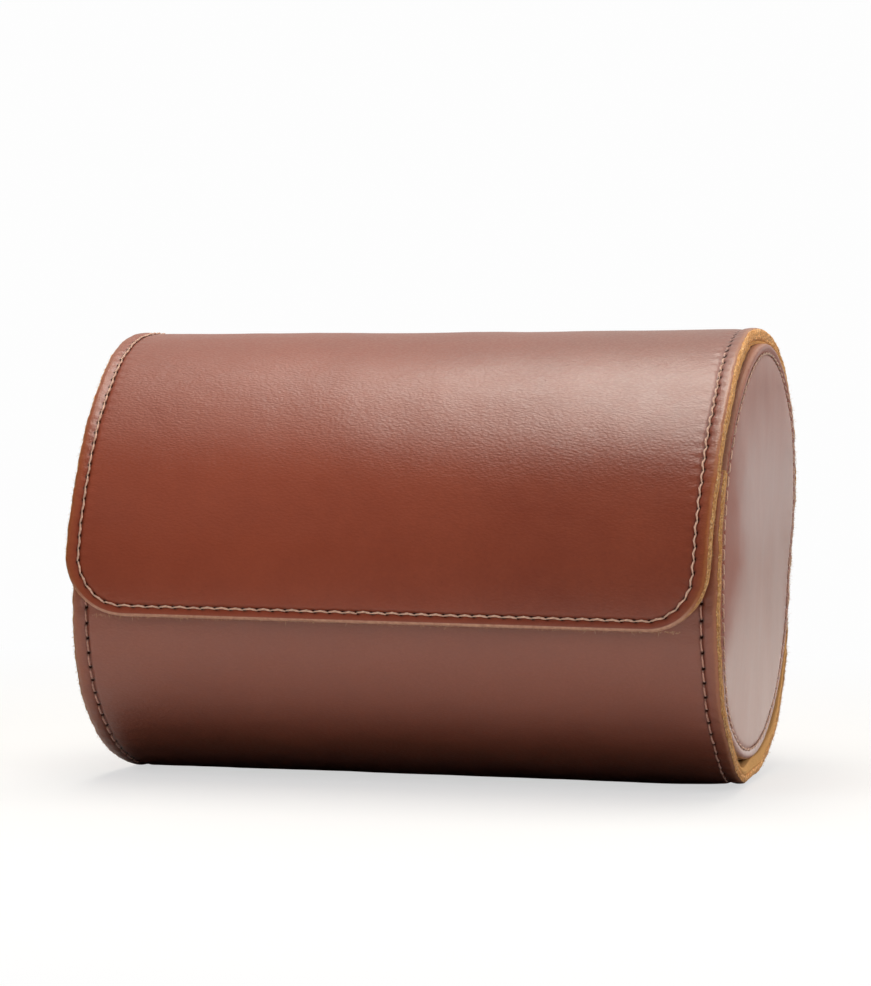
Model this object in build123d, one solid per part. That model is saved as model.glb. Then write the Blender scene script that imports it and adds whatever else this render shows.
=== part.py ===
from build123d import *
import math
import os

# Leather brush roll case: a cylindrical travel case for short brushes.
# A two-layer wrap (leather outside, suede inside) runs from a front lip, down
# and round the base, up the back, over the top and down the front again as a
# flap.  A fibreboard cradle with two leather-faced end discs sits inside it.
# Millimetres.  +X runs along the roll, -Y is the front with the flap edge,
# +Z is up.  The origin is the centre of the flat the case rests on.
#
# Angles are degrees round the roll: 0 at the front, 90 at the top, -90 at the
# base.  Arc centres are (y, z) from the roll axis.

# ---------------------------------------------------------------- dimensions
RAD = math.pi / 180.0
SIDES = (-1, 1)           # left (-X) and right (+X)
CUT_OVER = 1.0            # how far cutters reach past what they cut

LENGTH = 137.5            # roll length, cut edge to cut edge
HALF = LENGTH / 2
R_BODY = 47.6             # outer radius of the wrap where it is round
Z_AXIS = 47.0             # height of the roll axis above the rest flat
BASE_FROM = 78.0          # below horizontal, where the wrap turns into the rest flat

LEATHER_T = 1.9           # outer leather
SUEDE_T = 0.8             # suede lining of the wrap
WRAP_T = LEATHER_T + SUEDE_T

LIP_ANGLE = 26.0          # cut edge of the front lip
HINGE_ANGLE = 150.0       # first flex line, at the back
SPINE_STEP = 11.0         # angle of each flex strip
FLAP_TOP = HINGE_ANGLE - 2 * SPINE_STEP
FLAP_EDGE = -12.2         # free edge of the flap
FLAP_SPIRAL = 1.9         # how far the flap's centre moves so that it clears the lip
R_FLAP = R_BODY + FLAP_SPIRAL
FLAP_CORNER = 13.0        # corner radius of the flap
CORNER_OVER = 2.0         # corner cutter past the flap's edges
CORNER_CUT_Y = -70.0      # where the corner cutter starts, in front of the case
CORNER_CUT_DEPTH = 45.0

DISC_R = 43.9             # end disc and cradle outer radius
DISC_INSET = 0.3          # disc face behind the cut edge of the wrap
DISC_LEATHER_T = 1.4
DISC_EDGE_T = 1.2         # leather turned over the board's edge
DISC_BOARD_T = 2.0
DISC_SUEDE_T = 0.6
DISC_EDGE_FILLET = 0.9

# Planes of the disc's layers, as distances from the middle of the roll
X_FACE = HALF - DISC_INSET
X_BOARD_OUTER = X_FACE - DISC_LEATHER_T
X_BOARD_INNER = X_BOARD_OUTER - DISC_BOARD_T
X_CRADLE_END = X_BOARD_INNER - DISC_SUEDE_T

BOARD_T = 1.2             # cradle board
CRADLE_SUEDE_T = 0.6
CRADLE_FRONT = 22.0       # front edge of the cradle
CRADLE_BACK = 152.0       # back edge of the cradle
R_BOARD_INNER = DISC_R - BOARD_T
R_WALL = R_BOARD_INNER - CRADLE_SUEDE_T    # inner face of the cradle's lining

PAD_HALF = 58.0           # half length of the foam padding
PAD_CLEAR = 0.03

THREAD_R = 0.30           # sewing thread
TOUCH = 0.005             # air under a stitch
STITCH_SHARE = 0.74       # visible length of a stitch as a share of the pitch
LIP_STITCH_SHARE = 0.9    # lip stitches are shorter again by this factor
SEAM_INSET = 3.4          # stitch line from the cut edge
DISC_SEAM_INSET = 2.2
X_SEAM = HALF - SEAM_INSET
PITCH_SIDE = 2.6          # stitch pitch along the flap's sides
PITCH_FRONT = 3.08        # along the flap's free edge
PITCH_BODY = 3.8          # along the body's edges
PITCH_DISC = 3.2
BODY_SEAM_END = 1.0       # body side seams stop this far from the lip and the hinge
STRIP_SEAM_END = 0.5      # flap and strip side seams stop this far from a flex line
LIP_SEAM_END = 1.5        # lip seam stops this far from the side seams
LIP_SEAM_CLEAR = 1.6      # side stitches start this far below the lip seam
REST_CLEAR = 1.6          # no stitches lower than this above the rest flat

GROOVE_D = 0.5            # stitching groove cut in the leather under the flap
GROOVE_W = 0.9
GROOVE_TO = -12.0         # angle where the groove runs out
GROOVE_END_CLEAR = 2.0    # stitches rise out of the groove this far before its end
R_GROOVE = R_BODY - GROOVE_D

MAGNET_R = 5.0
MAGNET_T = 1.0
MAGNET_CLEAR = 0.1        # added to the pocket's radius and to its depth
MAGNET_RAISE = 0.35       # inner face of a magnet out from the wrap's inner face
MAGNET_X = 45.0
MAGNET_LIP_ANGLE = -2.0
MAGNET_FLAP_ANGLE = -1.0

BAND_X = 34.0             # centre of each elastic band
BAND_W = 18.0
BAND_T = 1.0
LOOPS = 8
LOOP_PITCH = 17.0         # along the cradle's lining
LOOP_H = 9.0
TACK_W = 4.0              # band width held flat between loops
LOOP_LEAN = 1.2           # inner face of a tack is narrower by this at each loop
TACK_STITCH_INSET = 1.5   # tack stitch from the band's edges

# ------------------------------------------------------ arc centres and outline
ROLL_AXIS = (0.0, 0.0)
DISC_CENTRE = (-0.3, 1.5)
FLAP_CENTRE = (          # moved directly away from the hinge line
    FLAP_SPIRAL * math.cos(HINGE_ANGLE * RAD),
    -FLAP_SPIRAL * math.sin(HINGE_ANGLE * RAD),
)

# Corner arcs are tangent to the round body and to the rest flat.
BASE_SIN = math.sin(BASE_FROM * RAD)
R_CORNER = (Z_AXIS - R_BODY * BASE_SIN) / (1.0 - BASE_SIN)
FLAT_HALF = (R_BODY - R_CORNER) * math.cos(BASE_FROM * RAD)
CORNER_Z = -(R_BODY - R_CORNER) * BASE_SIN

# Body outline from lip to hinge: centre, radius, start angle, end angle.
FLAT = "flat"
BODY_OUTLINE = [
    (ROLL_AXIS, R_BODY, LIP_ANGLE, -BASE_FROM),
    ((-FLAT_HALF, CORNER_Z), R_CORNER, -BASE_FROM, -90.0),
    FLAT,
    ((FLAT_HALF, CORNER_Z), R_CORNER, -90.0, -180.0 + BASE_FROM),
    (ROLL_AXIS, R_BODY, -180.0 + BASE_FROM, HINGE_ANGLE - 360.0),
]


# -------------------------------------------------------------------- helpers
def arc_degrees(length, radius):
    return length / radius / RAD


def arc_length(degrees, radius):
    return degrees * RAD * radius


LIP_SEAM_ANGLE = LIP_ANGLE - arc_degrees(SEAM_INSET, R_BODY)


def outward(angle):
    return Vector(0, -math.cos(angle * RAD), math.sin(angle * RAD))


def around(angle):
    """Direction of growing angle."""
    return Vector(0, math.sin(angle * RAD), math.cos(angle * RAD))


def arc_point(angle, radius, centre=ROLL_AXIS, x=0.0):
    return Vector(x, centre[0], Z_AXIS + centre[1]) + outward(angle) * radius


def arc_edge(centre, radius, start, end, x):
    angles = (start, (start + end) / 2, end)
    return Edge.make_three_point_arc(*(arc_point(a, radius, centre, x) for a in angles))


def radial_edge(angle, radius_from, radius_to, centre, x):
    return Edge.make_line(
        arc_point(angle, radius_from, centre, x), arc_point(angle, radius_to, centre, x)
    )


def prism(edges, length):
    return Solid.extrude(Face(Wire(edges)), Vector(length, 0, 0))


def arc_shell(centre, r_outer, r_inner, start, end, x0, x1):
    edges = [
        arc_edge(centre, r_outer, start, end, x0),
        radial_edge(end, r_outer, r_inner, centre, x0),
        arc_edge(centre, r_inner, end, start, x0),
        radial_edge(start, r_inner, r_outer, centre, x0),
    ]
    return prism(edges, x1 - x0)


def disc_cylinder(radius, xa, xb):
    """A cylinder on the disc axis between two x positions, in either order."""
    low, high = sorted((xa, xb))
    origin = Vector(low, DISC_CENTRE[0], Z_AXIS + DISC_CENTRE[1])
    return Solid.make_cylinder(radius, high - low, Plane(origin=origin, z_dir=(1, 0, 0)))


def stitch(surface_point, direction, normal, length):
    """One straight thread stitch lying on a surface; normal points away from it."""
    direction = direction.normalized()
    middle = surface_point + normal.normalized() * (THREAD_R + TOUCH)
    start = middle - direction * (length / 2)
    return Solid.make_cylinder(THREAD_R, length, Plane(origin=start, z_dir=direction))


def space_stitches(run, pitch):
    """Centres of stitches that fill a run evenly, and the length of each stitch."""
    count = max(1, round(run / pitch))
    return [(i + 0.5) * run / count for i in range(count)], run / count * STITCH_SHARE


def magnet_pair(angle, r_outer, centre, clearance=0.0):
    """Two flat discs lying in the wrap; clearance grows them into their pockets."""
    radius = r_outer - WRAP_T + MAGNET_RAISE - clearance / 2
    return [
        Solid.make_cylinder(
            MAGNET_R + clearance,
            MAGNET_T + clearance,
            Plane(origin=arc_point(angle, radius, centre, side * MAGNET_X), z_dir=outward(angle)),
        )
        for side in SIDES
    ]


def save(name, shape):
    export_step(shape, os.path.join("parts", name + ".step"))


def save_group(name, solids):
    save(name, Compound(children=list(solids)))


# -------------------------------------------------------------- case body wrap
def body_edges(inset, x):
    """The body outline, moved inwards by inset."""
    edges = []
    for part in BODY_OUTLINE:
        if part == FLAT:
            edges.append(
                Edge.make_line(Vector(x, -FLAT_HALF, inset), Vector(x, FLAT_HALF, inset))
            )
        else:
            centre, radius, start, end = part
            edges.append(arc_edge(centre, radius - inset, start, end, x))
    return edges


def body_shell(inset_outer, inset_inner):
    caps = [
        radial_edge(angle, R_BODY - inset_inner, R_BODY - inset_outer, ROLL_AXIS, -HALF)
        for angle in (LIP_ANGLE, HINGE_ANGLE)
    ]
    return prism(body_edges(inset_outer, -HALF) + body_edges(inset_inner, -HALF) + caps, LENGTH)


def outline_part_length(part):
    if part == FLAT:
        return 2 * FLAT_HALF
    _, radius, start, end = part
    return arc_length(start - end, radius)


def outline_at(distance, x):
    """Point, outward normal and forward direction at a distance along the outline from the lip."""
    for part in BODY_OUTLINE:
        length = outline_part_length(part)
        if distance > length:
            distance -= length
        elif part == FLAT:
            return Vector(x, distance - FLAT_HALF, 0), Vector(0, 0, -1), Vector(0, 1, 0)
        else:
            centre, radius, start, _ = part
            angle = start - arc_degrees(distance, radius)
            return arc_point(angle, radius, centre, x), outward(angle), around(angle) * -1
    raise ValueError("past the end of the outline")


def groove_cutter(start, end, x0, x1):
    return arc_shell(ROLL_AXIS, R_BODY + CUT_OVER, R_GROOVE, start, end, x0, x1)


def build_body():
    leather = body_shell(0.0, LEATHER_T)
    lining = body_shell(LEATHER_T, WRAP_T)

    # One groove along the lip and one down each side from it
    half_w = GROOVE_W / 2
    half_angle = arc_degrees(half_w, R_BODY)
    leather = leather - groove_cutter(
        LIP_SEAM_ANGLE + half_angle, LIP_SEAM_ANGLE - half_angle, -X_SEAM - half_w, X_SEAM + half_w
    )
    for side in SIDES:
        x = side * X_SEAM
        leather = leather - groove_cutter(LIP_SEAM_ANGLE, GROOVE_TO, x - half_w, x + half_w)

    for pocket in magnet_pair(MAGNET_LIP_ANGLE, R_BODY, ROLL_AXIS, MAGNET_CLEAR):
        leather = leather - pocket
        lining = lining - pocket
    save("body_leather", leather)
    save("body_lining", lining)
    save_group("lip_magnets", magnet_pair(MAGNET_LIP_ANGLE, R_BODY, ROLL_AXIS))


def build_body_stitching():
    stitches = []
    outline_length = sum(outline_part_length(part) for part in BODY_OUTLINE)
    groove_end = arc_length(LIP_ANGLE - GROOVE_TO, R_BODY) - GROOVE_END_CLEAR
    centres, length = space_stitches(outline_length - 2 * BODY_SEAM_END, PITCH_BODY)
    for side in SIDES:
        for centre in centres:
            distance = BODY_SEAM_END + centre
            point, normal, direction = outline_at(distance, side * X_SEAM)
            if point.Z < REST_CLEAR or distance < SEAM_INSET + LIP_SEAM_CLEAR:
                continue
            if distance < groove_end:
                point = point - normal * GROOVE_D
            stitches.append(stitch(point, direction, normal, length))

    lip_run = 2 * (X_SEAM - LIP_SEAM_END)
    centres, length = space_stitches(lip_run, PITCH_BODY)
    for centre in centres:
        point = arc_point(LIP_SEAM_ANGLE, R_GROOVE, x=centre - lip_run / 2)
        normal = outward(LIP_SEAM_ANGLE)
        stitches.append(stitch(point, Vector(1, 0, 0), normal, length * LIP_STITCH_SHARE))
    save_group("body_stitching", stitches)


# ------------------------------------------------------ flap and its flex strips
def flap_layers(start, end):
    """Leather and lining of the wrap round the flap's centre."""
    r_between = R_FLAP - LEATHER_T
    return (
        arc_shell(FLAP_CENTRE, R_FLAP, r_between, start, end, -HALF, HALF),
        arc_shell(FLAP_CENTRE, r_between, R_FLAP - WRAP_T, start, end, -HALF, HALF),
    )


def flap_at(distance, x):
    """Outer face at a distance from the free edge: point, normal, direction away from the edge."""
    angle = FLAP_EDGE + arc_degrees(distance, R_FLAP)
    return arc_point(angle, R_FLAP, FLAP_CENTRE, x), outward(angle), around(angle)


def flap_distance(angle):
    return arc_length(angle - FLAP_EDGE, R_FLAP)


def side_stitches(start, end):
    """Stitches along both sides between two distances from the free edge."""
    stitches = []
    centres, length = space_stitches(end - start, PITCH_SIDE)
    for side in SIDES:
        for centre in centres:
            point, normal, direction = flap_at(start + centre, side * X_SEAM)
            stitches.append(stitch(point, direction, normal, length))
    return stitches


def build_spine_strip(name, start, end):
    leather, lining = flap_layers(start, end)
    save(name + "_leather", leather)
    save(name + "_lining", lining)
    stitches = side_stitches(
        flap_distance(start) + STRIP_SEAM_END, flap_distance(end) - STRIP_SEAM_END
    )
    save_group(name + "_stitching", stitches)


def corner_cutter(side):
    """What lies outside the rounded corner of the flap, seen from the front."""
    z_edge = arc_point(FLAP_EDGE, R_FLAP, FLAP_CENTRE).Z
    z_below = z_edge - CORNER_OVER
    z_centre = z_edge + FLAP_CORNER
    x_centre = side * (HALF - FLAP_CORNER)
    x_edge = side * HALF
    x_beyond = side * (HALF + CORNER_OVER)
    diagonal = math.sqrt(0.5) * FLAP_CORNER

    def at(x, z):
        return Vector(x, CORNER_CUT_Y, z)

    edges = [
        Edge.make_line(at(x_centre, z_below), at(x_beyond, z_below)),
        Edge.make_line(at(x_beyond, z_below), at(x_beyond, z_centre)),
        Edge.make_line(at(x_beyond, z_centre), at(x_edge, z_centre)),
        Edge.make_three_point_arc(
            at(x_edge, z_centre),
            at(x_centre + side * diagonal, z_centre - diagonal),
            at(x_centre, z_edge),
        ),
        Edge.make_line(at(x_centre, z_edge), at(x_centre, z_below)),
    ]
    return Solid.extrude(Face(Wire(edges)), Vector(0, CORNER_CUT_DEPTH, 0))


def build_flap():
    leather, lining = flap_layers(FLAP_EDGE, FLAP_TOP)
    cutters = [corner_cutter(side) for side in SIDES]
    cutters += magnet_pair(MAGNET_FLAP_ANGLE, R_FLAP, FLAP_CENTRE, MAGNET_CLEAR)
    for cutter in cutters:
        leather = leather - cutter
        lining = lining - cutter
    save("flap_leather", leather)
    save("flap_lining", lining)
    save_group("flap_magnets", magnet_pair(MAGNET_FLAP_ANGLE, R_FLAP, FLAP_CENTRE))


def build_flap_stitching():
    stitches = side_stitches(FLAP_CORNER, flap_distance(FLAP_TOP) - STRIP_SEAM_END)

    # Rounded corners; turn is in radians, from the side edge
    x_corner = HALF - FLAP_CORNER
    r_seam = FLAP_CORNER - SEAM_INSET
    centres, length = space_stitches(r_seam * math.pi / 2, PITCH_SIDE)
    for side in SIDES:
        for centre in centres:
            turn = centre / r_seam
            point, normal, upward = flap_at(
                FLAP_CORNER - r_seam * math.sin(turn), side * (x_corner + r_seam * math.cos(turn))
            )
            direction = Vector(-side * math.sin(turn), 0, 0) - upward * math.cos(turn)
            stitches.append(stitch(point, direction, normal, length))

    # Free edge
    centres, length = space_stitches(2 * x_corner, PITCH_FRONT)
    for centre in centres:
        point, normal, _ = flap_at(SEAM_INSET, centre - x_corner)
        stitches.append(stitch(point, Vector(1, 0, 0), normal, length))
    save_group("flap_stitching", stitches)


# --------------------------------------------------------------------- cradle
def build_cradle():
    for name, r_outer, r_inner in (
        ("cradle_board", DISC_R, R_BOARD_INNER),
        ("cradle_lining", R_BOARD_INNER, R_WALL),
    ):
        shell = arc_shell(
            DISC_CENTRE, r_outer, r_inner, CRADLE_FRONT, CRADLE_BACK - 360.0,
            -X_CRADLE_END, X_CRADLE_END,
        )
        save(name, shell)


def build_padding():
    """Foam between the cradle and the wrap, short of both ends."""
    inset = WRAP_T + PAD_CLEAR
    edges = body_edges(inset, -PAD_HALF) + [
        radial_edge(angle, R_BODY - inset, 0.0, ROLL_AXIS, -PAD_HALF)
        for angle in (LIP_ANGLE, HINGE_ANGLE)
    ]
    x_cut = PAD_HALF + CUT_OVER
    padding = prism(edges, 2 * PAD_HALF) - disc_cylinder(DISC_R + PAD_CLEAR, -x_cut, x_cut)
    save_group("cradle_padding", padding.solids())


# ------------------------------------------------------------------ end discs
def build_end(name, side):
    def layer(radius, xa, xb):
        return disc_cylinder(radius, side * xa, side * xb)

    r_board = DISC_R - DISC_EDGE_T
    leather = layer(DISC_R, X_BOARD_INNER, X_FACE)
    outer_edge = [
        edge
        for edge in leather.edges().filter_by(GeomType.CIRCLE)
        if abs(abs(edge.center().X) - X_FACE) < 1e-6
    ]
    leather = leather.fillet(DISC_EDGE_FILLET, outer_edge)
    leather = leather - layer(r_board, X_BOARD_INNER, X_BOARD_OUTER)
    save(name + "_end_leather", leather)
    save(name + "_end_board", layer(r_board, X_BOARD_INNER, X_BOARD_OUTER))
    save(name + "_end_lining", layer(DISC_R, X_CRADLE_END, X_BOARD_INNER))

    r_seam = DISC_R - DISC_SEAM_INSET
    centres, length = space_stitches(2 * math.pi * r_seam, PITCH_DISC)
    ring = []
    for centre in centres:
        angle = arc_degrees(centre, r_seam)
        point = arc_point(angle, r_seam, DISC_CENTRE, side * X_FACE)
        ring.append(stitch(point, around(angle), Vector(side, 0, 0), length))
    save_group(name + "_end_stitching", ring)


# --------------------------------------------------------------- elastic bands
R_BAND = R_WALL - BAND_T    # inner face of the band where it is tacked down
LOOP_STEP = arc_degrees(LOOP_PITCH, R_WALL)
TACK_ANGLES = [-90.0 + (LOOPS / 2 - i) * LOOP_STEP for i in range(LOOPS + 1)]


def build_band(name, x_middle):
    """A band lying on the cradle's lining, rising in a loop between each two tacks."""
    x = x_middle - BAND_W / 2
    half_tack = arc_degrees(TACK_W, R_WALL) / 2
    lean = arc_degrees(LOOP_LEAN, R_WALL)

    def loop_arc(start, end, radius):
        middle = (start + end) / 2
        stations = ((start, radius), (middle, radius - LOOP_H), (end, radius))
        return Edge.make_three_point_arc(*(arc_point(a, r, DISC_CENTRE, x) for a, r in stations))

    edges = [radial_edge(TACK_ANGLES[0] + half_tack, R_WALL, R_BAND, DISC_CENTRE, x)]
    for i, tack in enumerate(TACK_ANGLES):
        start, end = tack + half_tack, tack - half_tack
        inner_start = start if i == 0 else start - lean
        inner_end = end if i == LOOPS else end + lean
        edges.append(arc_edge(DISC_CENTRE, R_WALL, start, end, x))
        edges.append(arc_edge(DISC_CENTRE, R_BAND, inner_start, inner_end, x))
        if i < LOOPS:
            next_start = TACK_ANGLES[i + 1] + half_tack
            edges.append(loop_arc(end, next_start, R_WALL))
            edges.append(loop_arc(inner_end, next_start - lean, R_BAND))
    edges.append(radial_edge(TACK_ANGLES[-1] - half_tack, R_WALL, R_BAND, DISC_CENTRE, x))
    save(name, prism(edges, BAND_W))


def build_loop_stitching():
    """One long stitch across the band at each tack."""
    tacks = []
    for side in SIDES:
        for angle in TACK_ANGLES:
            point = arc_point(angle, R_BAND - TOUCH, DISC_CENTRE, side * BAND_X)
            inward = outward(angle) * -1
            length = BAND_W - 2 * TACK_STITCH_INSET
            tacks.append(stitch(point, Vector(1, 0, 0), inward, length))
    save_group("loop_stitching", tacks)


# ---------------------------------------------------------------------- build
os.makedirs("parts", exist_ok=True)
build_body()
build_body_stitching()
build_spine_strip("spine_lower", HINGE_ANGLE - SPINE_STEP, HINGE_ANGLE)
build_spine_strip("spine_upper", FLAP_TOP, HINGE_ANGLE - SPINE_STEP)
build_flap()
build_flap_stitching()
build_cradle()
build_padding()
for side, name in zip(SIDES, ("left", "right")):
    build_end(name, side)
    build_band("loop_band_" + name, side * BAND_X)
build_loop_stitching()
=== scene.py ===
"""Leather brush roll case, closed, lying on a table.

The roll's length runs along x and its front faces -y; the table is z = 0.  A leather wrap
with a suede lining starts at a lip on the front, runs under the roll, up the back, over the
top and down the front again as a flap.  Inside are a round cradle with elastic loops, foam
around it, and a disc at each end.

Work is in millimetres, turned to metres when each mesh is made.  Angles round the roll are
in degrees, 0 at the front and 90 at the top.  "run" is the distance round the wrap from the
lip, and "edge" the distance in from the wrap's nearest cut edge.
"""

import math

import bpy
import numpy as np
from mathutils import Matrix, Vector


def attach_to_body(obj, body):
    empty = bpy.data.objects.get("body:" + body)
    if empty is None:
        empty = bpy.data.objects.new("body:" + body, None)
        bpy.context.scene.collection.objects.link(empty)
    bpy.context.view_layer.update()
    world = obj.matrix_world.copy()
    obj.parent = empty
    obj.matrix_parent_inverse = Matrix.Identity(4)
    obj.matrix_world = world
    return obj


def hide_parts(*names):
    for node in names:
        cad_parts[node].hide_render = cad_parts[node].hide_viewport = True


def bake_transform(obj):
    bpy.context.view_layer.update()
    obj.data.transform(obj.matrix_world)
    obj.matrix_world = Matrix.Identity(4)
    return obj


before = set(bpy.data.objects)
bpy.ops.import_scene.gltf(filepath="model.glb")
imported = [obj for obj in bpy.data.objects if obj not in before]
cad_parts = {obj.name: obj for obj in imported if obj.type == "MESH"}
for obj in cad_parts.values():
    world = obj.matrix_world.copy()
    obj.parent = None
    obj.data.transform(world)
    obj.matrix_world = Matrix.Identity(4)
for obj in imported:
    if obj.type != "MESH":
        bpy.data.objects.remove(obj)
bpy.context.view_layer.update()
RAD = math.pi / 180
TURN = 2 * math.pi
METRES = 0.001
rng = np.random.default_rng(11)

# ------------------------------------------------------------------ dimensions
LENGTH = 137.5
HALF = LENGTH / 2
BODY_R = 47.6
AXIS_Z = 47.0
BASE_FROM = 78.0          # the body's circle ends this far below the front and the back
LEATHER_T, SUEDE_T = 1.9, 0.8
WRAP_T = LEATHER_T + SUEDE_T
LIP_ANGLE, HINGE_ANGLE, SPINE_STEP, FLAP_EDGE = 26.0, 150.0, 11.0, -12.2
FLAP_SPIRAL = 1.9         # how much larger the flap's circle is than the body's
FLAP_CORNER = 13.0        # radius of the flap's two corners
FLAP_SKEW = 0.0085        # the flap's free edge hangs lower on the right, per mm of x
SEAM_INSET, SEAM_LOW = 3.4, 2.75      # at the sides, and along the flap's free edge

DISC_R = 43.9
DISC_INSET, DISC_LEATHER_T, DISC_EDGE_T, DISC_BOARD_T, DISC_SUEDE_T = 0.3, 1.4, 1.2, 2.0, 0.6
DISC_FACE_X = HALF - DISC_INSET
DISC_SEAM_R = DISC_R - 2.1
DISC_STITCHES = round(TURN * DISC_SEAM_R / 3.0)
CRADLE_Y, CRADLE_Z = -0.3, AXIS_Z + 1.5
BOARD_T, CRADLE_SUEDE_T = 1.2, 0.6
CRADLE_FRONT, CRADLE_BACK = 22.0, 152.0 - 360.0
CRADLE_HALF = DISC_FACE_X - DISC_LEATHER_T - DISC_BOARD_T - DISC_SUEDE_T
PAD_HALF = 58.0
BAND_X, BAND_W = 34.0, 18.0
LOOPS, LOOP_PITCH, LOOP_H, TACK_W = 8, 17.0, 9.0, 4.0

_sin, _cos = math.sin(BASE_FROM * RAD), math.cos(BASE_FROM * RAD)
CORNER_R = (AXIS_Z - BODY_R * _sin) / (1.0 - _sin)
# circle centres as (y, z over the roll's axis)
FRONT_CORNER = (-(BODY_R - CORNER_R) * _cos, -(BODY_R - CORNER_R) * _sin)
BACK_CORNER = (-FRONT_CORNER[0], FRONT_CORNER[1])
_spiral = (HINGE_ANGLE - 180.0) * RAD
FLAP_CENTRE = (-FLAP_SPIRAL * math.cos(_spiral), FLAP_SPIRAL * math.sin(_spiral))
FLAP_R = BODY_R + FLAP_SPIRAL


# --------------------------------------------------------------- shape functions
def smooth(start, end, value):
    """0 at start, 1 at end, eased between."""
    t = np.clip((value - start) / (end - start), 0, 1)
    return t * t * (3 - 2 * t)


def bell(value, width, middle=0.0):
    return np.exp(-(((value - middle) / width) ** 2))


def plateau(share, start, end):
    """1 in the middle of 0..1, easing to 0 alike at both ends."""
    return smooth(start, end, share) * (1 - smooth(1 - end, 1 - start, share))


NOISE = np.random.default_rng(5).random((64, 64, 64)).astype(np.float32)


def value_noise(points):
    """Smooth value noise between -1 and 1 for an array of 3-D points."""
    points = np.asarray(points, float)
    cell = np.floor(points).astype(int)
    part = points - cell
    part = part * part * part * (part * (part * 6 - 15) + 10)
    total = 0.0
    for corner in np.ndindex(2, 2, 2):
        weight = np.prod(np.where(corner, part, 1 - part), axis=-1)
        x, y, z = np.moveaxis((cell + corner) % 64, -1, 0)
        total = total + weight * NOISE[x, y, z]
    return total * 2 - 1


def sheet_noise(x, run, size, seed):
    layer = np.full_like(x, seed * 1.7 + 0.5)
    return value_noise(np.stack([x / size + seed * 7.31, run / size + seed * 3.17, layer], -1))


# ------------------------------------------------------------ the wrap's outline
def arc_rows(run, centre, radius, angle):
    ny, nz = -np.cos(angle), np.sin(angle)
    return np.stack([run, centre[0] + radius * ny, AXIS_Z + centre[1] + radius * nz, ny, nz])


def trace_outline():
    """Rows run, y, z and outward normal of the wrap's outer face, and the run where each arc ends."""
    arcs = [
        ((0.0, 0.0), BODY_R, LIP_ANGLE, -BASE_FROM),
        (FRONT_CORNER, CORNER_R, -BASE_FROM, -90.0),
        None,    # flat on the table
        (BACK_CORNER, CORNER_R, -90.0, -180.0 + BASE_FROM),
        ((0.0, 0.0), BODY_R, -180.0 + BASE_FROM, HINGE_ANGLE - 360.0),
        (FLAP_CENTRE, FLAP_R, HINGE_ANGLE - 360.0, FLAP_EDGE - 360.0),
    ]
    parts, ends = [], [0.0]
    for arc in arcs:
        if arc is None:
            length = 2 * abs(FRONT_CORNER[0])
            reach = np.linspace(0, 1, 40) * length
            zero = np.zeros(40)
            rows = np.stack([ends[-1] + reach, FRONT_CORNER[0] + reach, zero, zero, zero - 1.0])
        else:
            centre, radius, start, end = arc
            length = abs(end - start) * RAD * radius
            share = np.linspace(0, 1, max(8, int(length / 0.25)))
            angle = (start + (end - start) * share) * RAD
            rows = arc_rows(ends[-1] + share * length, centre, radius, angle)
        parts.append(rows)
        ends.append(ends[-1] + length)
    rows = np.concatenate(parts, axis=1)
    rows = rows[:, np.concatenate([[True], np.diff(rows[0]) > 1e-6])]
    # a little more outline past the flap's end, for the skew
    tail = np.linspace(0.05, 3.0, 30)
    angle = (FLAP_EDGE - 360.0) * RAD - tail / FLAP_R
    return np.concatenate([rows, arc_rows(ends[-1] + tail, FLAP_CENTRE, FLAP_R, angle)], 1), ends


OUTLINE, _ends = trace_outline()
RUN_HINGE, RUN_END = _ends[-2:]


def run_at(angle):
    """The run of an angle on the flap's circle."""
    return RUN_HINGE + (HINGE_ANGLE - angle) * RAD * FLAP_R


def outline_point(run):
    return np.interp(run, OUTLINE[0], OUTLINE[1]), np.interp(run, OUTLINE[0], OUTLINE[2])


def outline_normal(run):
    return np.interp(run, OUTLINE[0], OUTLINE[3]), np.interp(run, OUTLINE[0], OUTLINE[4])


# The wrap is cut across into pieces that move apart.
RUN_BACK = RUN_HINGE - 11.0
RUN_LOW = run_at(HINGE_ANGLE - SPINE_STEP / 2)
RUN_MID = run_at(HINGE_ANGLE - SPINE_STEP * 1.5)
RUN_FLAP = run_at(HINGE_ANGLE - 2 * SPINE_STEP - 12.0)
SECTIONS = [
    ("body", -1, RUN_BACK),
    ("bend_lower", RUN_BACK, RUN_LOW),
    ("bend_middle", RUN_LOW, RUN_MID),
    ("bend_upper", RUN_MID, RUN_FLAP),
    ("flap", RUN_FLAP, RUN_END + 1),
]
# spine steps from the hinge to the bend's middle, and the bodies on its two sides
BENDS = {
    "bend_lower": (0, "case_body", "spine_lower"),
    "bend_middle": (1, "spine_lower", "spine_upper"),
    "bend_upper": (2, "spine_upper", "flap"),
}
BEND_REACH = 4.4
REPLACED = {"body": "body", "bend_lower": "spine_lower", "bend_middle": "spine_upper",
            "flap": "flap"}

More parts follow.
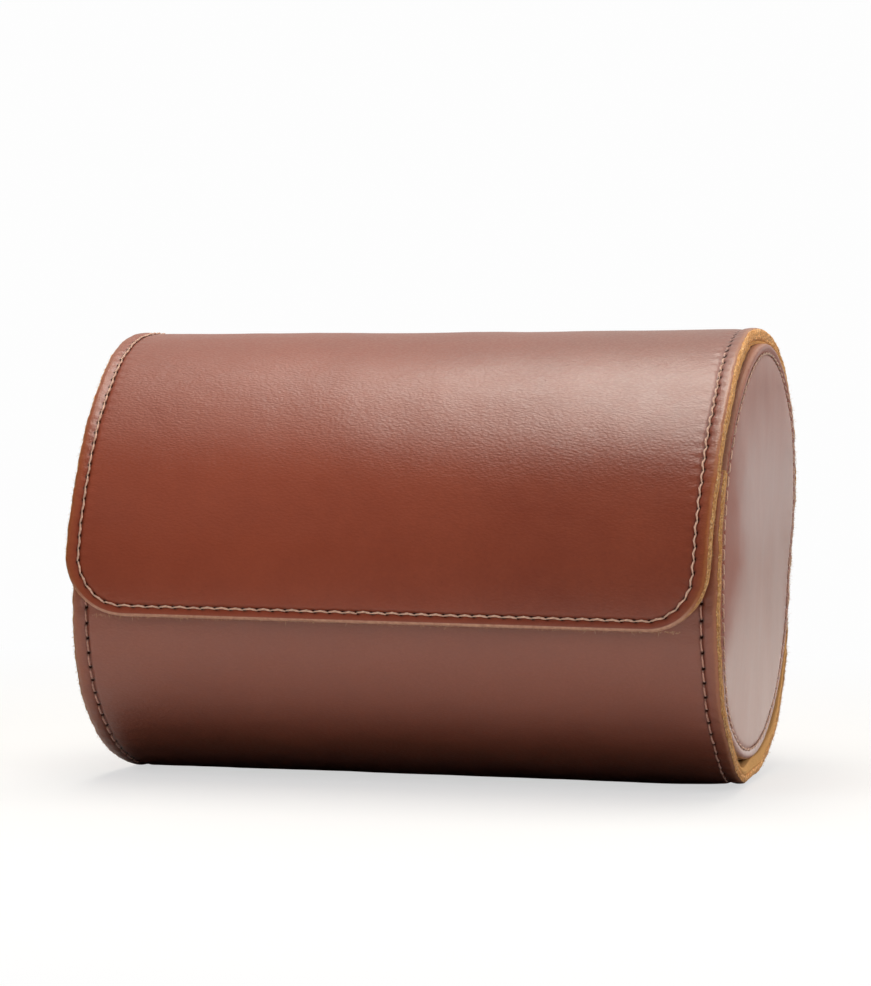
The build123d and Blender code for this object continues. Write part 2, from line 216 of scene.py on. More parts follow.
# How far the hand-cut right and left ends stray outward: (run, mm).
WAVER_RIGHT = [
    (0, 1.3), (12, 1.2), (20, 1.1), (28, 0.82), (36, 0.56), (44, 0.32), (51, 0.12), (59, 0.12),
    (65, 0.1), (70, 0.05), (76, -0.25), (84, -0.7), (94, -1.0), (104, -1.15), (114, -1.19),
    (120, -1.12), (130, -0.92), (138, -1.05), (147, -1.15), (154, -1.5), (164, -1.6),
    (171, -1.2), (178, -0.6), (184, -0.08), (192, 0.42), (200, 0.78), (210, 0.92), (220, 1.02),
    (234, 1.1), (244, 0.6), (251, 0.1), (258, 0.2), (265, 0.45), (273, 0.72), (284, 1.02),
    (292, 0.95), (301, 0.68), (306, 0.45), (311, 0.18), (317, -0.05), (322, -0.35),
    (327, -0.72), (338.5, -0.9)]
WAVER_LEFT = [
    (0, 1.1), (20, 0.95), (28, 0.62), (35, 0.02), (42, -0.72), (50, -1.2), (58, -1.52),
    (66, -1.76), (72, -1.72), (80, -1.3), (92, -0.9), (110, -0.5), (150, 0.0), (200, 0.0),
    (235, -0.5), (252, -0.85), (262, -0.72), (270, -0.05), (277, 0.65), (283, 1.0),
    (292, 1.28), (300, 1.42), (307, 1.26), (313, 1.16), (319, 0.78), (325, 0.45), (332, 0.3),
    (338.5, 0.2)]
WAVER_RUN = np.linspace(0, RUN_END, 1400)


def eased(table):
    """The table on WAVER_RUN with its kinks rounded off."""
    runs, strays = np.array(table, float).T
    window = np.hanning(41)
    values = np.pad(np.interp(WAVER_RUN, runs, strays), 20, mode="edge")
    return np.convolve(values, window / window.sum(), mode="valid")


EASED_RIGHT, EASED_LEFT = eased(WAVER_RIGHT), eased(WAVER_LEFT)


def waver(x, run):
    """Shift along x of a place on the wrap, growing toward the ends."""
    grow = np.clip(np.abs(x) / HALF, 0, 1.02) ** 3
    fine = 0.05 * np.sin(run * 0.31 + 1.0) + 0.04 * np.sin(run * 0.83)
    right = (np.interp(run, WAVER_RUN, EASED_RIGHT) + fine) * grow
    return np.where(x > 0, right, (np.interp(run, WAVER_RUN, EASED_LEFT) + fine) * grow)


def place(x, run, height):
    """Points for places on the wrap, height out from its outer face."""
    x, run = np.asarray(x, float), np.asarray(run, float)
    run = run + FLAP_SKEW * x * smooth(RUN_HINGE + 40.0, RUN_END - 10.0, run)
    y, z = outline_point(run)
    ny, nz = outline_normal(run)
    size = np.hypot(ny, nz)
    # under the right end the edge curls a little off the table
    curl = 1.0 * smooth(0.70, 1.0, x / HALF) * bell(run, 15.0, 101.0)
    return np.stack([x + waver(x, run), y + height * ny / size, z + height * nz / size + curl],
                    -1)


# The right end disc sits a little out of square, more proud at the top.
TILT_OUT, TILT_Y, TILT_Z, TILT_UP = 0.83, -0.60, 1.46, 0.60
# Swellings of its face: mm outward, middle and width in z, y where each starts and is full.
TILT_BELLS = [(0.45, 26.0, 13.0, 0.0, 34.0), (-0.45, -6.0, 8.0, 12.0, 42.0),
              (-0.40, 20.0, 15.0, -8.0, -34.0)]


def lean(points):
    """Moves points near the right end with its disc."""
    points = np.array(points, float)
    share = smooth(15.0, 66.0, points[:, 0])
    y, z = points[:, 1] - CRADLE_Y, points[:, 2] - CRADLE_Z
    out = TILT_OUT + TILT_Y * y / DISC_R + TILT_Z * z / DISC_R
    for swell, middle, width, start, full in TILT_BELLS:
        out += swell * bell(z, width, middle) * smooth(start, full, y)
    # low on the front the face draws in
    out -= 0.6 * smooth(-12.0, -36.0, z) * smooth(14.0, -26.0, y)
    points[:, 0] += share * out
    points[:, 2] += share * TILT_UP
    return points


# ------------------------------------------------------------------------- seam
SIDE_COUNT, CORNER_COUNT = 900, 40
CORNER_X, CORNER_RUN = HALF - FLAP_CORNER, RUN_END - FLAP_CORNER


def corner_inset(angle):
    """Seam inset round the flap's corner, from 0 at its side to a quarter turn at its free edge."""
    return SEAM_INSET + (SEAM_LOW - SEAM_INSET) * smooth(0.0, math.pi / 2, angle)


def build_seam():
    """Polyline in flat (x, run) from the lip's left corner round the flap to its right corner."""
    side = np.full(SIDE_COUNT, -(HALF - SEAM_INSET))
    left = np.stack([side, np.linspace(SEAM_INSET, CORNER_RUN, SIDE_COUNT)], 1)
    angle = np.linspace(0, math.pi / 2, CORNER_COUNT)[1:]
    radius = FLAP_CORNER - corner_inset(angle)
    corner = np.stack([-CORNER_X - radius * np.cos(angle), CORNER_RUN + radius * np.sin(angle)],
                      1)
    bottom = np.stack([np.linspace(-CORNER_X, CORNER_X, 300), np.full(300, RUN_END - SEAM_LOW)],
                      1)[1:]
    mirror = np.array([-1, 1])
    return np.concatenate([left, corner, bottom, (corner * mirror)[::-1][1:],
                           (left * mirror)[::-1]])


SEAM = build_seam()
SEAM_LEN = np.concatenate([[0], np.cumsum(np.hypot(*np.diff(SEAM, axis=0).T))])


def seam_at(length):
    """x and run at a length along the seam."""
    return np.interp(length, SEAM_LEN, SEAM[:, 0]), np.interp(length, SEAM_LEN, SEAM[:, 1])


def local_pitch(run):
    if run > RUN_END - SEAM_LOW - 1.0:
        return 3.06
    if run > RUN_HINGE:
        return 2.62
    return 3.45 if run < 90 else 3.3


def prick_holes():
    holes = [0.0]
    while True:
        uneven = 1 + 0.03 * math.sin(len(holes) * 2.3)
        after = holes[-1] + local_pitch(seam_at(holes[-1])[1]) * uneven
        if after > SEAM_LEN[-1]:
            return np.array(holes)
        holes.append(after)


HOLES = prick_holes()


def corner_angle(x, run):
    return np.arctan2(run - CORNER_RUN, np.maximum(np.abs(x) - CORNER_X, 1e-9))


def seam_coordinates(sheet):
    """For flat vertices: mm across the seam, stitches along it, mm along it."""
    x, run, edge = sheet.T
    low = run > CORNER_RUN
    corner = low & (np.abs(x) > CORNER_X)
    bottom = low & ~corner
    angle = corner_angle(x, run)
    inset = np.where(corner, corner_inset(angle), np.where(bottom, SEAM_LOW, SEAM_INSET))
    last = SIDE_COUNT - 1 + CORNER_COUNT
    on_side = np.interp(np.clip(run, SEAM_INSET, CORNER_RUN), SEAM[:SIDE_COUNT, 1],
                        SEAM_LEN[:SIDE_COUNT])
    on_corner = np.interp(angle, np.linspace(0, math.pi / 2, CORNER_COUNT),
                          SEAM_LEN[SIDE_COUNT - 1:last])
    length = np.where(corner, on_corner, on_side)
    length = np.where(x < 0, length, SEAM_LEN[-1] - length)
    length = np.where(bottom, SEAM_LEN[last - 1] + (x + CORNER_X), length)
    return edge - inset, np.interp(length, HOLES, np.arange(len(HOLES))), length


# ---------------------------------------------------------------- mesh machinery
def make_object(name, verts, faces, mat, uvs=None, seam_uvs=None, attrs=None, normals=None,
                leaned=False):
    """A smooth mesh object from points in mm and arrays of faces; uvs and attrs are per vertex."""
    mesh = bpy.data.meshes.new(name)
    verts = (lean(verts) if leaned else np.asarray(verts, float)) * METRES
    faces = [np.asarray(group, int) for group in faces if len(group)]
    loops = np.concatenate([group.ravel() for group in faces]).astype(np.int32)
    sizes = np.concatenate([np.full(len(g), g.shape[1]) for g in faces]).astype(np.int32)
    starts = np.concatenate([[0], np.cumsum(sizes)[:-1]]).astype(np.int32)
    mesh.vertices.add(len(verts))
    mesh.vertices.foreach_set("co", verts.astype(np.float32).ravel())
    mesh.loops.add(len(loops))
    mesh.loops.foreach_set("vertex_index", loops)
    mesh.polygons.add(len(sizes))
    mesh.polygons.foreach_set("loop_start", starts)
    mesh.polygons.foreach_set("loop_total", sizes)
    mesh.update(calc_edges=True)
    mesh.validate()
    # a face dropped by validate() would leave the loops out of step with the UVs
    if len(mesh.loops) == len(loops):
        for label, data in (("UVMap", uvs), ("Seam", seam_uvs)):
            if data is not None:
                layer = mesh.uv_layers.new(name=label)
                layer.data.foreach_set("uv", np.asarray(data, np.float32)[loops].ravel())
    for label, data in (attrs or {}).items():
        attribute = mesh.attributes.new(label, "FLOAT", "POINT")
        attribute.data.foreach_set("value", np.asarray(data, np.float32))
    mesh.polygons.foreach_set("use_smooth", np.full(len(mesh.polygons), True))
    if normals is not None:
        mesh.normals_split_custom_set_from_vertices(np.asarray(normals, float).tolist())
    ob = bpy.data.objects.new(name, mesh)
    bpy.context.scene.collection.objects.link(ob)
    mesh.materials.append(mat)
    return ob


def weld(verts, quads, decimals):
    """Indices of the vertices to keep, and the quads that still have an area."""
    key = np.round(verts, decimals) + 0.0
    _, first, inverse = np.unique(key, axis=0, return_index=True, return_inverse=True)
    quads = inverse.ravel()[quads]
    return first, quads[np.array([len(set(face)) >= 3 for face in quads.tolist()])]


def split_tris(faces):
    """Quads, and the quads with a repeated corner as triangles."""
    tris, quads = [], []
    for face in faces.tolist():
        corners = [v for i, v in enumerate(face) if v != face[i - 1]]
        (tris if len(corners) == 3 else quads).append(corners)
    return np.array(quads, int).reshape(-1, 4), np.array(tris, int).reshape(-1, 3)


def grid_quads(rows, columns, base=0):
    i, j = np.meshgrid(np.arange(rows - 1), np.arange(columns - 1), indexing="ij")
    here = i * columns + j
    below = here + columns
    return base + np.stack([here, below, below + 1, here + 1], -1).reshape(-1, 4)


def ring_quads(rings, count):
    """Quads between successive closed rings of count points."""
    i, j = np.meshgrid(np.arange(rings - 1), np.arange(count), indexing="ij")
    here, after = i * count, (j + 1) % count
    return np.stack([here + j, here + after, here + count + after, here + count + j],
                    -1).reshape(-1, 4)


def vertex_normals(points, quads, tris):
    total = np.zeros_like(points)
    quad, tri = points[quads], points[tris]
    across = np.cross(quad[:, 2] - quad[:, 0], quad[:, 3] - quad[:, 1])
    flat = np.cross(tri[:, 1] - tri[:, 0], tri[:, 2] - tri[:, 0])
    for faces, normal in ((quads, across), (tris, flat)):
        for column in faces.T:
            np.add.at(total, column, normal)
    return total / np.maximum(np.linalg.norm(total, axis=1)[:, None], 1e-12)


# ------------------------------------------------------------------ wrap sheets
def flat_sheet(stations, row_step, columns):
    """The wrap laid flat: vertices (x, run, edge) and quads.  stations: edge values to the corner."""
    edge = np.array(stations)
    middle = np.linspace(-CORNER_X, CORNER_X, columns)
    xs = np.concatenate([-HALF + edge, middle[1:-1], (HALF - edge)[::-1]])
    cuts = [FLAP_CORNER, RUN_BACK, RUN_LOW, RUN_MID, RUN_FLAP, CORNER_RUN]
    rows = [edge[:-1]]
    for start, end in zip(cuts, cuts[1:]):
        count = max(2, int(round((end - start) / row_step)))
        rows.append(np.linspace(start, end, count + 1)[:-1])
    parts, quads = [], []

    def add(x, run, depth, flip=False):
        grid = grid_quads(*x.shape, base=sum(map(len, parts)))
        quads.append(grid[:, ::-1] if flip else grid)
        parts.append(np.stack([x, run, depth], -1).reshape(-1, 3))

    x, run = np.meshgrid(xs, np.concatenate(rows + [[CORNER_RUN]]), indexing="ij")
    add(x, run, np.minimum(np.minimum((HALF - np.abs(xs))[:, None], run), FLAP_CORNER))
    # middle of the flap's free edge
    x, depth = np.meshgrid(middle, edge[::-1], indexing="ij")
    add(x, RUN_END - depth, depth)
    # rounded corners
    arc_steps = max(8, int(FLAP_CORNER * math.pi / 2 / min(row_step, 0.6)))
    angle, depth = np.meshgrid(np.linspace(0, math.pi / 2, arc_steps + 1), edge, indexing="ij")
    radius = FLAP_CORNER - depth
    for side in (-1, 1):
        add(side * (CORNER_X + radius * np.cos(angle)), CORNER_RUN + radius * np.sin(angle),
            depth, flip=side > 0)
    verts = np.concatenate(parts)
    first, quads = weld(verts, np.concatenate(quads), 4)
    verts = verts[first]
    # make every face wind the same way in (x, run)
    corner = verts[quads][:, :, :2]
    one, two = corner[:, 2] - corner[:, 0], corner[:, 3] - corner[:, 1]
    wrong = one[:, 0] * two[:, 1] - two[:, 0] * one[:, 1] < 0
    quads[wrong] = quads[wrong][:, ::-1]
    return verts, quads


def sheet_solid(sheet, quads, top, bottom):
    """Closed solid from two heights over one flat mesh, sharing the edge ring.

    Returns points, top and bottom faces, and the bottom vertex under each top one."""
    count = len(sheet)
    points = np.concatenate([place(sheet[:, 0], sheet[:, 1], h) for h in (top, bottom)])
    below = np.where(sheet[:, 2] < 1e-6, 0, count) + np.arange(count)
    top_faces, bottom_faces = quads, below[quads][:, ::-1]
    # the top must face along the outline's normal
    face = points[top_faces[0]]
    normal = np.cross(face[2] - face[0], face[3] - face[1])
    if normal[1:] @ np.array(outline_normal(sheet[quads[0], 1].mean())) < 0:
        top_faces, bottom_faces = top_faces[:, ::-1], bottom_faces[:, ::-1]
    return points, top_faces, bottom_faces, below


def attach(ob, section):
    if section in BENDS:
        steps, below, above = BENDS[section]
        middle = run_at(HINGE_ANGLE - SPINE_STEP * steps)
        start, end = (Vector(place(0.0, middle + reach, 0.0) * METRES)
                      for reach in (-BEND_REACH, BEND_REACH))
        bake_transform(ob)
    else:
        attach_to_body(ob, "case_body" if section == "body" else "flap")


def settle_sections(made, cad_part):
    """Hides the CAD parts the sections replace and attaches one object for each section of the wrap;
    only the body and the flap go under a body's empty.
    """
    for section, prefix in REPLACED.items():
        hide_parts(prefix + "_" + cad_part)
    for section, ob in made.items():
        attach(ob, section)


def settle(ob, replaced):
    """Tells the frame about a piece of the case body."""
    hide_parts(replaced)
    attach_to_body(ob, "case_body")


def split_sheet(name, sheet, quads, top, bottom, mat, extra=None):
    """Builds a sheet of the wrap as one closed solid for each section."""
    points, top_faces, bottom_faces, below = sheet_solid(sheet, quads, top, bottom)
    halves = [split_tris(faces) for faces in (top_faces, bottom_faces)]
    quads, tris = (np.concatenate(groups) for groups in zip(*halves))
    normals = vertex_normals(points, quads, tris)
    across, along, _ = seam_coordinates(sheet)
    x, run, edge = sheet.T
    run2 = np.concatenate([run, run])
    uvs = np.stack([np.concatenate([x, x + 400]), run2], 1)
    seam_uvs = np.tile(np.stack([across, along], 1), (2, 1))
    attrs = {
        "edge_d": np.concatenate([edge, edge]),
        "depth": np.concatenate([top, bottom]),
        "under": np.repeat([0.0, 1.0], len(sheet)),
    }
    for label, data in (extra or {}).items():
        attrs[label] = np.concatenate([data, data])
    made = {}
    for section, start, end in SECTIONS:
        groups = []
        for faces in (quads, tris):
            middle = run2[faces].mean(1)
            groups.append(faces[(middle > start) & (middle <= end)])
        # caps where the sheet is cut across
        caps = []
        for cut in (start, end):
            row = np.where(np.abs(run - cut) < 1e-6)[0]
            if len(row) < 3:
                continue
            row = row[np.argsort(x[row])]
            cap = np.stack([row[:-1], row[1:], below[row[1:]], below[row[:-1]]], 1)
            caps.append(cap if cut == end else cap[:, ::-1])
        groups = [np.concatenate(pair) for pair in zip(groups, split_tris(np.concatenate(caps)))]
        used = np.unique(np.concatenate([faces.ravel() for faces in groups]))
        index = np.full(len(points), -1)
        index[used] = np.arange(len(used))
        made[section] = make_object(
            name + "_" + section, points[used], [index[faces] for faces in groups], mat,
            uvs=uvs[used], seam_uvs=seam_uvs[used], normals=normals[used],
            attrs={label: data[used] for label, data in attrs.items()})
    settle_sections(made, name)


# --------------------------------------------------------------- shader building
class Value:
    """A node's output.  Arithmetic on it adds math nodes."""

    def __init__(self, shader, socket):
        self.shader = shader
        self.socket = socket

    def __add__(self, other):
        return self.shader.math("ADD", self, other)

    def __radd__(self, other):
        return self.shader.math("ADD", other, self)

    def __sub__(self, other):
        return self.shader.math("SUBTRACT", self, other)

    def __rsub__(self, other):
        return self.shader.math("SUBTRACT", other, self)

    def __mul__(self, other):
        return self.shader.math("MULTIPLY", self, other)

    def __truediv__(self, other):
        return self.shader.math("DIVIDE", self, other)

    def __abs__(self):
        return self.shader.math("ABSOLUTE", self)


class Shader:
    """Short-hand for building the node tree of a material or world.

    Every call adds a new node, so a value used twice is kept in a variable."""

    def __init__(self, owner, output):
        owner.use_nodes = True
        self.owner = owner
        self.tree = owner.node_tree
        self.tree.nodes.clear()
        self.output = self.add(output, {})

    def put(self, socket, value):
        if isinstance(value, Value):
            self.tree.links.new(value.socket, socket)
        elif isinstance(value, tuple) and socket.type == "RGBA":
            socket.default_value = (*value, 1.0)
        else:
            socket.default_value = value

    def add(self, kind, inputs, **settings):
        node = self.tree.nodes.new("ShaderNode" + kind)
        for label, setting in settings.items():
            setattr(node, label, setting)
        for key, value in inputs.items():
            self.put(node.inputs[key], value)
        return node

    def values(self, kind, inputs, *outputs, **settings):
        node = self.add(kind, inputs, **settings)
        return [Value(self, node.outputs[key]) for key in outputs]

    def value(self, kind, inputs, output=0, **settings):
        return self.values(kind, inputs, output, **settings)[0]

    def math(self, operation, one, two=0.0, clamp=False):
        return self.value("Math", {0: one, 1: two, 2: 0.0}, operation=operation,
                          use_clamp=clamp)

    def shift(self, vector, by):
        return self.value("VectorMath", {0: vector, 1: by}, operation="ADD")

    def stretch(self, vector, by):
        return self.value("VectorMath", {0: vector, 1: by}, operation="MULTIPLY")

    def scale(self, vector, by):
        return self.value("VectorMath", {0: vector, 3: by}, operation="SCALE")

    def split(self, vector):
        return self.values("SeparateXYZ", {0: vector}, 0, 1, 2)

    def noise(self, vector, scale, detail=3.0, rough=0.55, distort=0.0):
        return self.value("TexNoise", {"Vector": vector, "Scale": scale, "Detail": detail,
                                       "Roughness": rough, "Distortion": distort})

    def cells(self, vector, scale, smoothness=None):
        inputs = {"Vector": vector, "Scale": scale, "Randomness": 1.0}
        if smoothness is None:
            return self.value("TexVoronoi", inputs, feature="F1")
        inputs["Smoothness"] = smoothness
        return self.value("TexVoronoi", inputs, feature="SMOOTH_F1")

    def ramp(self, value, start, end, first=0.0, last=1.0, kind="LINEAR"):
        """Runs from first, where value is at start, to last, where it is at end."""
        return self.value("MapRange", {"Value": value, "From Min": start, "From Max": end,
                                       "To Min": first, "To Max": last},
                          interpolation_type=kind)

    def rise(self, value, start, end, first=0.0, last=1.0):
        """An eased ramp up."""
        return self.ramp(value, start, end, first, last, "SMOOTHSTEP")

    def fade(self, value, start, end, last=0.0):
        """An eased ramp down from 1."""
        return self.ramp(value, start, end, 1.0, last, "SMOOTHSTEP")

    def mix(self, factor, one, two):
        return self.value("Mix", {0: factor, 6: one, 7: two}, output=2, data_type="RGBA")

    def paint(self, color, *layers):
        """Lays (cover, color) layers over a colour, in order."""
        for cover, over in layers:
            color = self.mix(cover, color, over)
        return color

    def uv(self, name):
        return self.value("UVMap", {}, uv_map=name)

    def attr(self, name):
        return self.value("Attribute", {}, output="Fac", attribute_name=name)

    def position(self):
        """Object coordinates in metres."""
        return self.value("TexCoord", {}, output="Object")

    def position_mm(self):
        return self.scale(self.position(), 1000.0)

    def bump(self, height, distance, strength, normal=None):
        """distance is in metres."""
        inputs = {"Strength": strength, "Distance": distance, "Height": height}
        if normal is not None:
            inputs["Normal"] = normal
        return self.value("Bump", inputs)

    def principled(self, **inputs):
        named = {label.replace("_", " "): value for label, value in inputs.items()}
        return self.value("BsdfPrincipled", named)

    def finish(self, result):
        self.put(self.output.inputs[0], result)
        return self.owner

    def surface(self, **inputs):
        return self.finish(self.principled(**inputs))


def material(name):
    return Shader(bpy.data.materials.new(name), "OutputMaterial")


def scaled(color, *factors):
    """The colour times one factor, or one for each channel, at most 1."""
    factors = factors * 3 if len(factors) == 1 else factors
    return tuple(min(1.0, channel * factor) for channel, factor in zip(color, factors))


# -------------------------------------------------------------------- materials
# linear colours
HIDE = (0.235, 0.0445, 0.0195)
HIDE_DARK = (0.185, 0.033, 0.0145)
HIDE_LIGHT = (0.285, 0.060, 0.026)
BURNT = (0.40, 0.125, 0.030)
RAW = (0.80, 0.43, 0.155)
RAW_DARK = (0.30, 0.11, 0.028)
RAW_LIGHT = (1.0, 0.82, 0.52)
RAW_TAN = (0.56, 0.235, 0.062)
SUEDE = (0.56, 0.245, 0.080)
# the same thread in two shades: the copy on the flap and the discs is painted lighter, for the light
# that falls on them
THREAD_LIT = (0.86, 0.52, 0.375)
THREAD_BODY = (0.72, 0.36, 0.26)
THREAD_TACK = (0.30, 0.13, 0.07)
GRAIN = 0.000042          # bump depths in metres
HOLE_DEPTH = 0.00030


def hide_pattern(mat, p):
    """Finished leather at p in mm: colour, bump height, patches and grain cells."""
    broad = mat.noise(p, scale=0.045)
    patch = mat.noise(p, scale=0.22, detail=4, rough=0.6, distort=0.4)
    cloud = mat.noise(mat.shift(p, (31.0, 7.0, 3.0)), scale=0.9)
    # the grain is stretched a little along the roll
    warped = mat.shift(p, mat.scale(mat.noise(p, scale=1.1, detail=2), 0.5))
    cells = mat.cells(mat.stretch(warped, (0.62, 1.25, 1.0)), scale=1.9, smoothness=0.35)
    fine = mat.cells(mat.stretch(p, (0.7, 1.3, 1.0)), scale=4.3)
    pores = mat.fade(mat.cells(mat.shift(p, (5.0, 11.0, 2.0)), scale=0.95), 0.05, 0.14)
    wrinkle = mat.noise(mat.stretch(p, (0.40, 1.15, 0.9)), scale=1.15, detail=4, rough=0.62,
                        distort=0.9)
    color = mat.paint(
        mat.mix(mat.ramp(broad, 0.3, 0.7), HIDE_DARK, HIDE_LIGHT),
        (0.55, HIDE),
        (mat.ramp(patch, 0.35, 0.7, last=0.35), HIDE_LIGHT),
        (mat.ramp(cloud, 0.45, 0.75, last=0.25), HIDE_DARK),
        (mat.ramp(cells, 0.25, 0.62, last=0.22), HIDE_DARK),
        (pores * 0.30, (0.05, 0.010, 0.005)))
    height = cells * -1.0 + fine * -0.22 + wrinkle * 0.75 + pores * -0.35
    return color, height, patch, cells


def fibre_pattern(mat, p):
    """Raw leather fibre at p in mm: colour and bump height."""
    coarse = mat.noise(p, scale=1.7, detail=5, rough=0.72, distort=0.8)
    fine = mat.noise(mat.shift(p, (9.0, 4.0, 17.0)), scale=3.4, detail=4, rough=0.7,
                     distort=0.5)
    clumps = mat.cells(mat.shift(p, mat.scale(fine, 0.6)), scale=2.0)
    broad = mat.noise(p, scale=0.25, detail=2)
    color = mat.paint(
        mat.mix(mat.ramp(coarse, 0.40, 0.56), RAW_DARK, RAW),
        (mat.ramp(fine, 0.50, 0.66, last=0.85), RAW_LIGHT),
        (mat.ramp(clumps, 0.38, 0.62, last=0.55), RAW_DARK),
        (mat.ramp(broad, 0.4, 0.7, last=0.45), RAW_TAN))
    return color, coarse + fine * 0.8 + clumps * -0.6


def seam_holes(mat, color, flap=None, seam_shade=1.0):
    """Pressed line and pricked holes along a seam, with painted shade along the groove, round each
    hole and in it: colour and hole mask.

    On the flap the holes lie beside the thread."""
    across, along, _ = mat.split(mat.uv("Seam"))
    line = mat.fade(abs(across), 0.15, 0.75)
    # painted shade along the pressed groove
    color = mat.mix(line * (0.30 * seam_shade), color, HIDE_DARK)
    # mm along the seam from the nearest hole, and the hole's place and half sizes in mm
    reach = (mat.math("FRACT", along + 0.5) - 0.5) * 3.0
    if flap is None:
        side, long, wide = 0.0, 0.40, 0.38
    else:
        side, long, wide = flap * -0.31, 0.37 + flap * 0.14, 0.36 - flap * 0.01
    off = (across - side + reach * 0.28) / wide
    ahead = reach / long
    radius = mat.math("SQRT", off * off + ahead * ahead)
    hole = mat.fade(radius, 0.65, 1.15)
    halo = mat.fade(radius, 0.9, 2.2)
    # painted shade round each hole, and a painted shadow in the hole itself
    return mat.paint(color, (halo * (0.40 * seam_shade), (0.030, 0.006, 0.0035)),
                     (hole * 0.92, (0.012, 0.003, 0.002))), hole


def make_leather():
    mat = material("leather_hide")
    p = mat.uv("UVMap")
    color, height, patch, cells = hide_pattern(mat, p)
    edge = mat.attr("edge_d")
    fuzz = mat.attr("fuzz")
    wobble = mat.noise(p, scale=1.4) - 0.5
    # burnt rim, stronger to the right
    uneven = edge + wobble * 0.7
    near = mat.fade(uneven, 0.75, 1.35)
    singe = mat.ramp(mat.split(p)[0], -40.0, 20.0, first=0.30, last=0.75)
    rim = mat.fade(uneven, 1.2, 2.6)
    # the body is paler and hazier; the flap is lighter on its left and darker on its right
    flap = mat.ramp(mat.split(p)[1], RUN_HINGE, RUN_HINGE + 20.0)
    to_right = mat.rise(mat.split(p)[0] + wobble * 12.0, -30.0, 60.0)
    color = mat.paint(
        color,
        (near * singe * fuzz, BURNT),
        (rim * 0.25 * fuzz, BURNT),
        ((1.0 - flap) * 0.35, (0.31, 0.12, 0.08)),
        ((1.0 - to_right) * flap * 0.26, (0.31, 0.062, 0.028)),
        (to_right * flap * 0.14, (0.03, 0.006, 0.002)))
    color, hole = seam_holes(mat, color, flap)
    # raw edge: tan fibre on the sides, and a bevel along the flap's free edge whose pale colour is a
    # painted reflection of the floor
    p_solid = mat.position_mm()
    raw_color, raw_height = fibre_pattern(mat, p_solid)
    # painted light: the fibre is brighter over the top of the roll, where the top light falls, and
    # under its bottom, where the floor lights it
    crest = mat.fade(abs(mat.split(p)[1] - run_at(92.0)), 14.0, 58.0)
    keel = mat.fade(abs(mat.split(p)[1] - 101.0), 16.0, 46.0)
    raw_color = mat.scale(raw_color, 1.0 + mat.math("MAXIMUM", crest, keel) * 0.55)
    cut = mat.fade(edge + wobble * 0.45, 0.36, 0.52)
    under = mat.ramp(mat.attr("under"), 0.4, 0.6)
    raw = mat.math("MAXIMUM", mat.math("MULTIPLY", cut, fuzz, clamp=True), under)
    bevel = mat.math("MULTIPLY", mat.fade(edge, 0.80, 1.05), 1.0 - fuzz, clamp=True)
    bevel_noise = mat.noise(p_solid, scale=0.9, detail=4, rough=0.7)
    # painted reflection of the floor on the rounded free edge
    bevel_reflection_color = mat.mix(mat.ramp(bevel_noise, 0.35, 0.7), (0.40, 0.185, 0.120),
                          (0.60, 0.33, 0.22))
    color = mat.paint(color, (bevel, bevel_reflection_color), (raw, raw_color))
    # the hanging front of the flap has less glaze
    finished = 1.0 - raw
    worn = mat.rise(mat.split(p)[1] + wobble * 14.0, RUN_END - 44.0, RUN_END - 28.0)
    glaze = finished * (1.0 - worn * 0.6) * (1.0 - hole)
    rough = (0.42 + mat.ramp(patch, 0.3, 0.7, first=-0.035, last=0.045)
             + mat.ramp(cells, 0.2, 0.6, first=-0.03, last=0.06))
    normal = mat.bump(hole * -1.0, distance=HOLE_DEPTH, strength=0.9)
    normal = mat.bump(height * finished, distance=GRAIN, strength=1.0, normal=normal)
    normal = mat.bump(raw_height * raw, distance=0.00026, strength=0.9, normal=normal)
    return mat.surface(
        Base_Color=color, Roughness=rough * finished + raw * 0.92, Normal=normal, IOR=1.45,
        Specular_IOR_Level=0.04 + glaze * (0.66 + flap * (0.14 + to_right * 0.21)),
        Coat_Weight=glaze * (0.30 + flap * (0.08 + to_right * 0.20)),
        Coat_Roughness=0.27, Coat_Normal=normal, Sheen_Weight=raw * 0.12)


def make_disc_leather():
    mat = material("leather_disc")
    p = mat.position_mm()
    color, height, _, _ = hide_pattern(mat, p)
    wobble = (mat.noise(p, scale=1.0) - 0.5) * 0.6
    # painted highlight: the rolled rim and turned edge of the disc are mixed toward a pale pink
    near = mat.fade(mat.attr("edge_d") + wobble, 0.05, 0.55)
    color = mat.mix(near * 0.8, color, (0.40, 0.21, 0.15))
    # fainter painted shade along the disc's seam
    color, hole = seam_holes(mat, color, seam_shade=0.35)
    # the glaze is duller toward the front, past a bowed and wavering line,
    # with faint strokes from top to bottom
    _, y, z = mat.split(p)
    arc = (z - 46.0) * 0.012
    line = y + arc * arc * 60.0 + (mat.noise(p, scale=0.06, detail=2) - 0.5) * 22.0
    line = line + mat.ramp(z, 48.0, 12.0, last=20.0)
    stroke = mat.noise(mat.stretch(p, (0.0, 0.55, 0.018)), scale=1.0, rough=0.6)
    glaze = mat.rise(line, -36.0, -13.0) * mat.ramp(stroke, 0.3, 0.7, first=0.84)
    glaze = glaze * mat.fade(z, 62.0, 86.0, last=0.12)
    normal = mat.bump(hole * -1.0, distance=HOLE_DEPTH, strength=0.9)
    normal = mat.bump(height, distance=GRAIN * 0.12, strength=1.0, normal=normal)
    shut = 1.0 - hole
    return mat.surface(
        Base_Color=color, Normal=normal, IOR=1.5, Roughness=0.46 - glaze * 0.12,
        Specular_IOR_Level=shut * (0.16 + glaze * 0.40),
        Coat_Weight=shut * (0.12 + glaze * 0.45), Coat_Roughness=0.22, Coat_Normal=normal)


